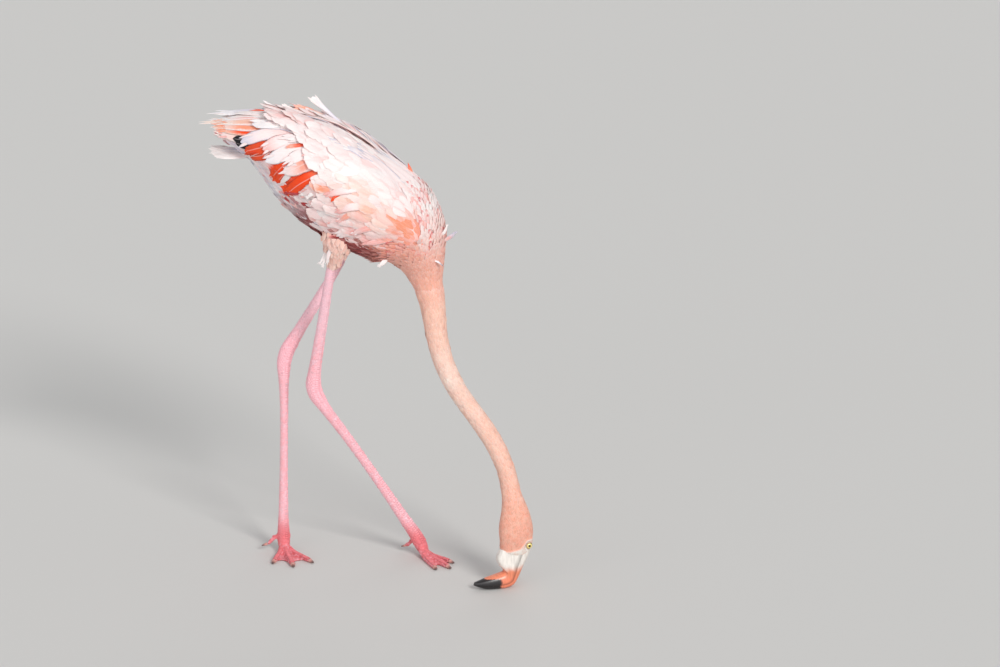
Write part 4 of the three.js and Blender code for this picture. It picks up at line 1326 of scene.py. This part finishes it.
# Tertials have their own roll, as the last value.
tertialLayers = {
    "right": [
        [((-0.130, 40), (-0.195, 51), (-0.250, 58)), 0.0110, "orangeSoft orange orange orangeSoft",
         "orangeSoft neckPale", 0.12],
        [((-0.120, 30), (-0.195, 41), (-0.258, 47)), 0.0115, "palePink orangeSoft orangeSoft neck",
         "blush palePink white", 0.12],
        [((-0.150, 66), (-0.205, 70), (-0.246, 72)), 0.0100, "palePink neckPale blush",
         "white palePink", 0.12],
        [((-0.110, 18), (-0.190, 28), (-0.265, 31)), 0.0115, "white blush neck neckPale",
         "white palePink white", 0.12],
        [((-0.110, 4), (-0.190, 10), (-0.252, 14)), 0.0110, "white palePink blush greyWhite",
         "white palePink white", 0.12]],
    # Lilac on the far tertials is partly painted shade on white feathers.
    "left": [
        [((-0.140, 62), (-0.190, 70), (-0.238, 74)), 0.0090, "palePink orangeSoft blush",
         "neckPale palePink", 0.12],
        [((-0.130, 46), (-0.195, 58), (-0.246, 62)), 0.0115, "palePink orangeSoft palePink",
         "lilac white", 0.12],
        [((-0.120, 30), (-0.195, 40), (-0.255, 42)), 0.0115, "palePink orangeSoft palePink",
         "palePink white", 0.3],
        [((-0.120, 14), (-0.190, 17), (-0.262, 16)), 0.0100, "palePink greyWhite lilac greyWhite",
         "lilac greyWhite white", 0.5],
        [((-0.110, 12), (-0.165, 13), (-0.206, 12)), 0.0060, "palePink orangeSoft orange",
         "peach orangeSoft", 0.4]],
}
scapularEdge = {"x": [-0.1884, -0.1535, -0.0909, -0.0242, 0.0129, 0.0502, 0.0696],
                "angle": [44, 37, 36, 29, 37, 48, 58]}
scapularPlan = {"rows": 5, "across": 5, "root": (0.062, -0.075), "rootJitter": 0.006, "reach": 0.105,
                "halfWidth": 0.0122, "vary": (0.85, 1.1), "lift": (-0.0020, 0.0012), "roll": 0.05}
midlinePlan = {"roots": (-0.135, -0.105, -0.070, -0.035, 0.000, 0.035), "angles": (-11, 11, 0),
               "step": 0.024, "stagger": 0.0004, "lift": (-0.0060, -0.0040), "halfWidth": 0.0105,
               "bridge": (-0.2, -0.1, 0.0, 0.1, 0.2)}
tertialLift = (-0.0045, -0.0035)


def foldedWing(side, left):
    for layer, plan in wingLayers.items():
        made = LongFeathers()
        for marks, halfWidth, tint, edge in plan["list"]:
            shift = rng.uniform(-0.003, 0.003) if side == "left" else 0.0
            path, facing = laidPath(left, [(x + shift, turn) for x, turn in marks], plan["lift"])
            made.addFrayed(path, facing, halfWidth, plan["outline"], shades(tint), shades(edge),
                           plan["lobes"], 0.45)
        if layer == "black":
            made.make("primary_feathers_" + side, ["primaries_" + side], "flight_feathers", camber=0.10)
        else:
            made.make(layer + "_feathers_" + side, [], "long_plumes")
    made = LongFeathers()
    for marks, halfWidth, tint, edge, roll in tertialLayers[side]:
        path, facing = laidPath(left, marks, tertialLift, roll)
        made.addFrayed(path, facing, halfWidth, "long", shades(tint), shades(edge), 5, 0.7)
    made.make("tertial_feathers_" + side, ["tertials_" + side], "long_plumes")


def scapulars(side, left):
    plan, made = scapularPlan, LongFeathers()
    for row in range(plan["rows"] - 1, -1, -1):
        for i in range(plan["across"]):
            part = (i + 0.5 + 0.45 * (row % 2)) / plan["across"]
            start = plan["root"][0] + (plan["root"][1] - plan["root"][0]) * row / (plan["rows"] - 1)
            start += rng.uniform(-plan["rootJitter"], plan["rootJitter"])
            reach = plan["reach"] * rng.uniform(*plan["vary"])
            marks = [(x, min(part, 1.02) * np.interp(x, scapularEdge["x"], scapularEdge["angle"]))
                     for x in np.linspace(start, start - reach, 5)]
            path, facing = laidPath(left, marks, plan["lift"], plan["roll"] * part)
            tint = "palePink palePink white" if rng.random() < 0.6 else "mantle palePink palePink"
            # Lilac edges, mostly on the outer scapulars, are painted shade along the edges, partly a lilac
            # tint.
            edge = "white lilac lilac" if part > 0.8 or rng.random() < 0.2 else "blush white"
            halfWidth = plan["halfWidth"] * rng.uniform(*plan["vary"])
            made.addFrayed(path, facing, halfWidth, "lance", shades(tint), shades(edge), 3, 0.4)
    if side == "left":  # the plumes over the midline go with this side
        plan = midlinePlan
        for start in plan["roots"]:
            for angle in plan["angles"]:
                marks = [(start - plan["step"] * k + plan["stagger"] * angle, angle) for k in range(5)]
                path, facing = laidPath(left, marks, plan["lift"], 0.0, plan["bridge"])
                made.addFrayed(path, facing, plan["halfWidth"], "long", shades("mantle palePink white"),
                               shades("blush white"), 3, 0.4)
    made.make("scapulars_" + side, [], "long_plumes")


for side, left in (("right", -1), ("left", 1)):
    foldedWing(side, left)
    scapulars(side, left)


tailPlan = {"root": (-0.176, 0.0121, 0.688), "count": 12, "spread": 14, "length": 0.084, "shorter": 0.10,
            "halfWidth": 0.0085, "wide": 0.010, "drop": (0.003, 0.004), "sag": 0.008, "steps": 8}


def tailFan():
    plan, fan = tailPlan, LongFeathers()
    for i in range(plan["count"]):
        part = i / (plan["count"] - 1) * 2 - 1
        turn = math.radians(plan["spread"]) * part
        length = plan["length"] * (1 - plan["shorter"] * part * part)
        way = np.array([-math.cos(turn), math.sin(turn), 0.0])
        root = np.array(plan["root"]) + np.array([0, part * plan["wide"], -plan["drop"][0] * abs(part)])
        path = np.array([root + way * length * t
                         + np.array([0, 0, -plan["sag"] * t * (1 - t) - plan["drop"][1] * abs(part) * t])
                         for t in np.linspace(0, 1, plan["steps"])])
        facing = np.array([(0, 0.45 * part, 1.0)] * plan["steps"])
        # Lilac on the tail's middle feathers is partly painted shade on white.
        tint = "lilac lilac greyWhite white" if abs(part) < 0.7 else "palePink white white white"
        fan.addFrayed(path, facing, plan["halfWidth"], "long", shades(tint), shades("lilac white white"),
                      4, 0.7)
    fan.make("tail_feathers", ["tail"], "tail_feathers", camber=0.10)


# Feathers that the wind has lifted, one by one: their line, facing, half-width, outline and tones.
# Lilac on these feathers is partly painted shade on white.
looseFeathers = {
    "loose_plume_1": [
        [[(-0.0206, 0.0341, 0.700), (-0.0506, 0.0361, 0.726), (-0.0786, 0.0371, 0.750),
          (-0.1000, 0.0371, 0.769)],
         (0.2, -0.9, 0.4), 0.0068, "spoon", "blush lilac greyWhite white", "white lilac white", 5],
        [[(-0.0206, 0.0301, 0.700), (-0.0506, 0.0311, 0.722), (-0.0800, 0.0311, 0.742)],
         (0.2, -0.8, 0.6), 0.0055, "lance", "palePink lilac palePink", "white lilac", 2]],
    "loose_plume_2": [
        [[(-0.0806, 0.0321, 0.731), (-0.1046, 0.0321, 0.745), (-0.1290, 0.0321, 0.7565)],
         (0.1, -0.9, 0.4), 0.0085, "lance", "orangeSoft orangeSoft peach", "peach blush", 3],
        [[(-0.0706, 0.0301, 0.729), (-0.0926, 0.0301, 0.741), (-0.1120, 0.0301, 0.7485)],
         (0.1, -0.85, 0.5), 0.0080, "lance", "orangeSoft peach palePink", "peach palePink", 3]],
    "loose_plume_3": [
        [[(-0.1206, 0.0311, 0.731), (-0.1486, 0.0321, 0.7455), (-0.1776, 0.0321, 0.756)],
         (0.1, -0.9, 0.4), 0.0075, "lance", "greyWhite lilac white", "white greyWhite", 5],
        [[(-0.1206, 0.0281, 0.731), (-0.1466, 0.0281, 0.7425), (-0.1706, 0.0281, 0.7475)],
         (0.1, -0.85, 0.5), 0.0075, "lance", "palePink greyWhite white", "lilac white", 4],
        [[(-0.1106, 0.0321, 0.733), (-0.1306, 0.0321, 0.7465), (-0.1480, 0.0321, 0.757)],
         (0.1, -0.9, 0.4), 0.0050, "lance", "palePink white white", "white white", 3]],
    "stray": [
        [[(0.1170, 0.0043, 0.5480), (0.1280, 0.0043, 0.5560), (0.1375, 0.0043, 0.5660)],
         (0.3, -0.8, -0.4), 0.0046, "lance", "palePink blush lilac lilac", "white lilac lilac", 3],
        [[(0.1120, -0.0060, 0.5590), (0.1200, -0.0060, 0.5680), (0.1240, -0.0060, 0.5800)],
         (0.5, -0.8, 0.2), 0.0028, "lance", "white white", "white white", 2],
        [[(0.1040, -0.0190, 0.5230), (0.1120, -0.0190, 0.5200), (0.1190, -0.0170, 0.5130)],
         (0.2, -0.8, 0.5), 0.0018, "lance", "white greyWhite billBlack", "white lilac", 1],
        [[(0.0640, 0.0204, 0.6530), (0.0600, 0.0204, 0.6620), (0.0570, 0.0204, 0.6700)],
         (0.3, -0.9, 0.3), 0.0028, "lance", "orangeSoft orange", "peach orange", 1],
        [[(0.0320, -0.0370, 0.5290), (0.0250, -0.0400, 0.5210), (0.0170, -0.0410, 0.5150)],
         (0.1, -0.9, -0.3), 0.0045, "lance", "white white", "white white", 4],
        [[(-0.0620, -0.0350, 0.5400), (-0.0680, -0.0370, 0.5250), (-0.0740, -0.0360, 0.5090)],
         (-0.2, -0.95, 0.0), 0.0032, "lance", "palePink white white", "white white", 5],
        [[(-0.0660, -0.0330, 0.5380), (-0.0720, -0.0350, 0.5240), (-0.0790, -0.0340, 0.5130)],
         (-0.3, -0.95, 0.0), 0.0028, "lance", "palePink white white", "white white", 4],
        [[(-0.0700, -0.0720, 0.6500), (-0.0820, -0.0740, 0.6430), (-0.0930, -0.0720, 0.6340)],
         (-0.2, -1.0, 0.0), 0.0040, "lance", "palePink white white", "white white", 5],
        [[(-0.0600, -0.0740, 0.6400), (-0.0740, -0.0750, 0.6330), (-0.0850, -0.0720, 0.6230)],
         (-0.2, -1.0, 0.0), 0.0040, "lance", "blush palePink white", "white white", 5],
        [[(-0.0560, -0.0460, 0.5480), (-0.0620, -0.0440, 0.5320), (-0.0650, -0.0400, 0.5150)],
         (-0.1, -1.0, 0.0), 0.0034, "lance", "palePink palePink white", "white white", 4]],
}


def looseOnes():
    for name, lines in looseFeathers.items():
        made = LongFeathers()
        for marks, facing, halfWidth, outline, tint, edge, lobes in lines:
            path = smoothLine(marks, laidPlan["steps"])
            facings = np.array([facing] * len(path))
            made.addFrayed(path, facings, halfWidth, outline, shades(tint), shades(edge), lobes, 0.8)
        made.make(name + "_feathers", [] if name == "stray" else [name], "long_plumes", 0.08, 0.2)


tailFan()
looseOnes()


# The legs' middle lines, from the thigh to the foot.
legLines = {
    "right": [(-0.0576, -0.0219, 0.528), (-0.0691, -0.0159, 0.459), (-0.0806, -0.0099, 0.390),
              (-0.0916, -0.0029, 0.323), (-0.0946, 0.0011, 0.291), (-0.0766, 0.0071, 0.258),
              (-0.0406, 0.0181, 0.204), (0.0084, 0.0321, 0.126), (0.0464, 0.0431, 0.063),
              (0.0634, 0.0481, 0.036), (0.0714, 0.0501, 0.019)],
    "left": [(-0.0516, 0.0546, 0.505), (-0.0761, 0.0531, 0.458), (-0.1016, 0.0511, 0.414),
             (-0.1281, 0.0491, 0.368), (-0.1486, 0.0471, 0.330), (-0.1501, 0.0461, 0.288),
             (-0.1496, 0.0441, 0.235), (-0.1506, 0.0421, 0.140), (-0.1516, 0.0411, 0.060),
             (-0.1516, 0.0406, 0.034), (-0.1511, 0.0401, 0.019)],
}
scutePlan = {  # angles are round the leg from its front, and rows after the first are turned by the stagger
    "front": {"pitch": 0.0042, "angles": (-44, 0, 44), "width": 0.82, "stagger": 0},
    "rear": {"pitch": 0.0030, "angles": (82, 112, 142, 172, -158, -128, -98), "width": 0.52, "stagger": 15},
}
scuteForm = {"count": 3, "rows": 3, "columns": 5, "corner": 0.10, "vary": 0.02, "dome": 0.10, "rise": 0.05,
             "bend": 0.17, "thickness": 0.12}
toePlan = {"pitch": 0.0034, "width": 0.0088, "narrower": 0.018, "length": 0.0042, "above": 0.06,
           "ends": (0.004, 0.002)}


def scuteShape():
    collection = bpy.data.collections.new("scute")
    plan, rows, columns = scuteForm, scuteForm["rows"], scuteForm["columns"]
    wide = columns + 1
    for k in range(plan["count"]):
        draw = random.Random(k)
        places, faces = [], []
        for row in range(rows + 1):
            for column in range(wide):
                u, v = column / columns * 2 - 1, row / rows * 2 - 1
                corner = 1 - plan["corner"] * (abs(u) ** 4 + abs(v) ** 4) - plan["vary"] * draw.random()
                dome = plan["dome"] * (1 - abs(u) ** 5) * (1 - abs(v) ** 5)
                height = dome + plan["rise"] * (v + 1) - plan["bend"] * u * u
                places.append((0.5 * u * corner, 0.5 * (v * corner + 1), height))
        for row in range(rows):
            for a in range(row * wide, row * wide + columns):
                faces.append((a, a + 1, a + wide + 1, a + wide))
        mesh = meshFrom(f"scute_{k}", places, faces)
        setVaneUv(mesh, lambda v: ((v % wide) / columns, (v // wide) / rows))
        piece = addObject(f"scute_{k}", mesh)
        solid = piece.modifiers.new("solid", "SOLIDIFY")
        solid.thickness = plan["thickness"]
        solid.offset = -1
        collection.objects.link(bpy.data.objects.new(f"scute_{k}", settled(piece)))
    return collection


shapes["scute"] = scuteShape()
skinTree = BVHTree.FromPolygons([v.co for v in skinMesh.vertices],
                                [p.vertices[:] for p in skinMesh.polygons])


def isCoated(point):
    face = skinTree.find_nearest(point)[2]
    return coated[skinMesh.polygons[face].vertices[0]] > 0.5


def legScutes(side):
    line = smoothLine(legLines[side], 400)
    reach = np.concatenate([[0], np.cumsum(np.linalg.norm(np.diff(line, axis=0), axis=1))])
    ahead = unit(np.gradient(line, axis=0))
    rows = []
    for kind in scutePlan.values():
        s, row = 0.012, 0
        while s < reach[-1] - 0.006:
            i = int(np.searchsorted(reach, s))
            middle, down = Vector(line[i]), Vector(ahead[i])
            front = Vector((1, 0, 0))
            front = (front - down * front.dot(down)).normalized()
            sideways = down.cross(front)
            for degrees in kind["angles"]:
                turn = math.radians(degrees + kind["stagger"] * (row % 2))
                out = front * math.cos(turn) + sideways * math.sin(turn)
                hit, normal = skinTree.ray_cast(middle + out * 0.0005, out, 0.03)[:2]
                if hit is None or normal.dot(out) < 0.4 or hit.z < 0.004 or isCoated(hit):
                    continue
                rows.append((np.array(hit), np.array(normal), np.array(down),
                             (hit - middle).length * kind["width"], kind["pitch"], s, turn))
            s += kind["pitch"] * 0.9
            row += 1
    return rows


def toeScutes(side):
    rows, plan = [], toePlan
    for name in ("toe_middle_", "toe_inner_", "toe_outer_"):
        points = coordsOf(nodes[name + side].data)
        middle = points.mean(0)
        way = np.linalg.eigh(np.cov((points - middle).T))[1][:, 2]  # the toe's longest direction
        way = way if (middle - np.array(legLines[side][-1])) @ way > 0 else -way
        reach = (points - middle) @ way
        for s in np.arange(reach.min() + plan["ends"][0], reach.max() - plan["ends"][1], plan["pitch"]):
            start = Vector((*(middle + way * s)[:2], plan["above"]))
            hit, normal = skinTree.ray_cast(start, Vector((0, 0, -1)), plan["above"])[:2]
            if hit is None or normal.z < 0.5:
                continue
            width = plan["width"] - plan["narrower"] * max(s, 0)
            rows.append((np.array(hit), np.array(normal), way, width, plan["length"], 0.62 + s, 0.0))
    return rows


def scutes(side):
    at, normal, way, width, height, s, turn = (
        np.array(values) for values in zip(*(legScutes(side) + toeScutes(side))))
    count = len(at)
    tint = legTone(at) * rng.normal(1, 0.05, (count, 1))
    edge = tint * (0.66 + 0.26 * smooth(0.03, 0.16, at[:, 2]))[:, None]
    shift = 0.24 if side == "right" else 0.74  # each leg has its own half of the bake map's top
    plant("leg_scutes_" + side, "scute", {
        "at": at - normal * 0.00012, "normal": normal, "lie": way, "tilt": np.full(count, 0.02),
        "yaw": rng.normal(0, 0.03, count), "roll": np.zeros(count),
        "size": np.stack([width, height, width], axis=1),
        "tint": np.clip(tint, 0, 1), "edge": np.clip(edge, 0, 1),
        "bake": np.stack([shift + 0.44 * turn / (2 * math.pi), 0.81 + 0.17 * s / 0.72, 0 * s], axis=1),
        "grain": np.ones(count), "seed": rng.random(count), "shaft": np.zeros(count),
    }, "leg_skin", "scutes")


for side in ("right", "left"):
    scutes(side)


billStations = [  # out from the head's axis and height of the culmen, gape angle, depths, half-width
    (0.0270, 0.0680, 154, 0.0150, 0.0225, 0.0130), (0.0195, 0.0490, 154, 0.0150, 0.0295, 0.0135),
    (0.0105, 0.0310, 155, 0.0125, 0.0325, 0.0130), (0.0045, 0.0170, 148, 0.0110, 0.0250, 0.0125),
    (-0.0030, 0.0050, 124, 0.0100, 0.0210, 0.0125), (-0.0150, 0.0000, 100, 0.0090, 0.0180, 0.0125),
    (-0.0310, -0.0005, 90, 0.0080, 0.0155, 0.0120), (-0.0470, 0.0006, 86, 0.0070, 0.0120, 0.0100),
    (-0.0600, 0.0040, 78, 0.0050, 0.0075, 0.0070), (-0.0700, 0.0085, 66, 0.0025, 0.0030, 0.0035),
]
billPlan = {"rings": 72, "arc": 26, "flat": 5, "gap": 0.0002, "base": 0.92, "swell": 1.06, "swellEnd": 0.03,
            "swellFade": (0.08, 0.45), "full": {"upper": 2.2, "lower": 2.7}, "lip": 0.035, "inset": 0.97}
# Marks on the upper half: how deep, and where along the bill and round it, each with a width.
nostril = {"deep": 0.16, "wide": 0.10, "along": (0.20, 0.07), "around": (0.62, 0.10)}
groove = {"deep": 0.07, "around": (0.45, 0.12), "from": (0.25, 0.5), "to": (0.8, 0.95)}


def billPiece(half):
    upper, plan, rings = half == "upper", billPlan, []
    full, gap = plan["full"][half], -plan["gap"] if upper else plan["gap"]
    for i, (out, z, gape, top, bottom, side) in enumerate(smoothLine(billStations, plan["rings"])):
        t = i / (plan["rings"] - 1)
        away = math.radians(gape)
        toGape = headOut * math.cos(away) + Vector((0, 0, math.sin(away)))
        seam = headMiddle + headOut * out + Vector((0, 0, z)) + toGape * top
        swell = plan["base"] + (plan["swell"] - plan["base"]) * float(smooth(0, plan["swellEnd"], t))
        swell -= (plan["swell"] - 1) * float(smooth(*plan["swellFade"], t))
        side *= swell
        depth = (-top if upper else bottom) * swell
        ring = []
        for k in range(plan["arc"] + 1):
            angle = math.pi * k / plan["arc"]
            c, s = math.cos(angle), math.sin(angle)
            wide = side * np.sign(c) * abs(c) ** (2 / full)
            deep = depth * abs(s) ** (2 / full)
            if upper:
                slit = bell(t, *nostril["along"]) * bell(abs(c), *nostril["around"])
                cut = bell(abs(c), *groove["around"]) * smooth(*groove["from"], t)
                cut *= 1 - smooth(*groove["to"], t)
                deep *= (1 - nostril["deep"] * slit) * (1 - groove["deep"] * cut)
                wide *= 1 - nostril["wide"] * slit
            else:
                wide *= 1 + plan["lip"] * bell(s, 0, 0.25)
            ring.append(seam + headLeft * float(wide) + toGape * (float(deep) + gap))
        for k in range(1, plan["flat"] + 1):  # the flat face along the gape
            across = side * (1 - 2 * k / (plan["flat"] + 1)) * plan["inset"]
            ring.append(seam - headLeft * across + toGape * gap)
        rings.append(ring)
    return rings


# A closed skin over rings of points.
def lofted(name, rings):
    around = len(rings[0])
    points = [p for ring in rings for p in ring]
    last = len(points) - around
    faces = [(start + k, start + (k + 1) % around, start + around + (k + 1) % around, start + around + k)
             for start in range(0, last, around) for k in range(around)]
    faces += [range(around - 1, -1, -1), range(last, last + around)]
    mesh = meshFrom(name, points, faces)
    bm = opened(mesh)
    bmesh.ops.recalc_face_normals(bm, faces=bm.faces)
    if bm.calc_volume(signed=True) < 0:
        bmesh.ops.reverse_faces(bm, faces=bm.faces)
    return closed(bm, mesh)


def billTone(points):
    off = points - np.array(headMiddle)
    out = off @ np.array(headOut)
    fine = cloud(points, 0.006, 21)
    # how far along the bill, from its base over the bend to the tip
    along = np.where(points[:, 2] > 0.018, 0.5 * (0.062 - points[:, 2]) / 0.044,
                     0.5 + 0.5 * (0.004 - out) / 0.072)
    colour = mixed(tones["ivory"], tones["billPink"], smooth(0.26, 0.40, along + 0.06 * (fine - 0.5)))
    colour = mixed(colour, tones["billPink"] * np.array([1, 0.85, 0.85]), 0.6 * smooth(0.4, 0.6, along))
    return mixed(colour, tones["billBlack"], smooth(0.70, 0.735, along + 0.03 * (fine - 0.5)))


def makeBill():
    for half in ("upper", "lower"):
        name = "bill_" + half
        mesh = smoothShaded(lofted(name + "_horn", billPiece(half)), 50)
        piece = addObject(name + "_horn", mesh)
        around = np.arange(len(mesh.vertices)) % (billPlan["arc"] + 1 + billPlan["flat"])
        # painted shade along the seam between the mandibles
        gape = 1 - 0.45 * ((around < 1) | (around >= billPlan["arc"]))  # darker along the gape
        setColour(mesh, "tint", billTone(coordsOf(mesh)) * gape[:, None])
        mesh.materials.append(materials["bill"])
        keepPiece(piece, [name], "bill_horn")


def makeEyes():
    for side, eye in eyes.items():
        bm = bmesh.new()
        bmesh.ops.create_uvsphere(bm, u_segments=48, v_segments=32, radius=eye["radius"])
        turn = eye["look"].to_track_quat("Z", "Y").to_matrix().to_4x4()
        layer = bm.loops.layers.uv.new("iris")
        for face in bm.faces:
            face.smooth = True
            for loop in face.loops:
                place = loop.vert.co.normalized()
                ring = math.hypot(place.x, place.y)
                loop[layer].uv = (math.atan2(place.y, place.x) / (2 * math.pi) + 0.5,
                                  ring if place.z > 0 else 1.0)
        bm.transform(Matrix.Translation(eye["at"]) @ turn)
        mesh = closed(bm, bpy.data.meshes.new("eyeball_" + side))
        mesh.materials.append(materials["eye"])
        keepPiece(addObject("eyeball_" + side, mesh), ["eye_" + side], "eye")


def makeClaws():
    for name in [n for n in nodes if n.startswith("claw_")]:
        mesh = roundedMesh(name, 0.0002)
        mesh.name = name + "_horn"
        points = coordsOf(mesh)
        points[:, 2] = np.maximum(points[:, 2], 0.0001)
        setCoords(mesh, points)
        smoothShaded(mesh)
        side = "left" if name.endswith("left") else "right"
        off = np.linalg.norm(points[:, :2] - np.array(legLines[side][-1][:2]), axis=1)
        share = (off - off.min()) / (off.max() - off.min())
        setColour(mesh, "tint", mixed(tones["clawRoot"], tones["clawTip"], smooth(0.2, 1.0, share)))
        mesh.materials.clear()
        mesh.materials.append(materials["claw"])
        keepPiece(addObject(name + "_horn", mesh), [name], "claw_horn")


makeBill()
makeEyes()
makeClaws()


studioPlan = {
    "floor": {"corners": [(-6, -6, 0), (6, -6, 0), (6, 8, 0), (-6, 8, 0)], "colour": (0.62, 0.61, 0.59, 1),
              "roughness": 0.85},
    "sky": {"colour": (0.95, 0.97, 1.0, 1), "strength": 0.50},
    "lamps": [  # where each stands, as seen from the bird
        {"name": "key", "from": (0.62, -0.84, 0.66), "strength": 2.0, "angle": 18,
         "colour": (1, 0.985, 0.97)},
        {"name": "fill", "from": (-0.35, -0.95, 0.12), "strength": 0.95, "angle": 60,
         "colour": (0.96, 0.98, 1)},
        {"name": "rim", "from": (0.1, 0.9, 0.6), "strength": 0.35, "angle": 40, "colour": (1, 1, 1)},
    ],
}
view = {"aim": Vector((0.2025, 0.0366, 0.3872)), "back": Vector((0.13236, -0.94180, 0.30902)),
        "away": 15.0, "lens": 337.5}


def studio():
    scene = bpy.context.scene
    scene.view_settings.view_transform = "Standard"
    plan = studioPlan["floor"]
    floor = addObject("studio_floor", meshFrom("studio_floor", plan["corners"], [(0, 1, 2, 3)]))
    made = Shader("studioFloor", plan["roughness"], Base_Color=plan["colour"])
    floor.data.materials.append(made.material)
    world = bpy.data.worlds.new("studio")
    scene.world = world
    world.use_nodes = True
    sky = world.node_tree.nodes["Background"].inputs
    sky[0].default_value = studioPlan["sky"]["colour"]
    sky[1].default_value = studioPlan["sky"]["strength"]
    for lamp in studioPlan["lamps"]:
        light = bpy.data.lights.new(lamp["name"], "SUN")
        light.energy = lamp["strength"]
        light.angle = math.radians(lamp["angle"])
        light.color = lamp["colour"]
        holder = addObject(lamp["name"], light)
        holder.rotation_euler = Vector(lamp["from"]).to_track_quat("Z", "Y").to_euler()


def addCamera():
    camera = bpy.data.cameras.new("camera")
    camera.lens = view["lens"]
    camera.clip_end = 100
    holder = addObject("camera", camera)
    holder.location = view["aim"] + view["back"] * view["away"]
    holder.rotation_euler = (-view["back"]).to_track_quat("-Z", "Y").to_euler()
    bpy.context.scene.camera = holder


studio()
addCamera()
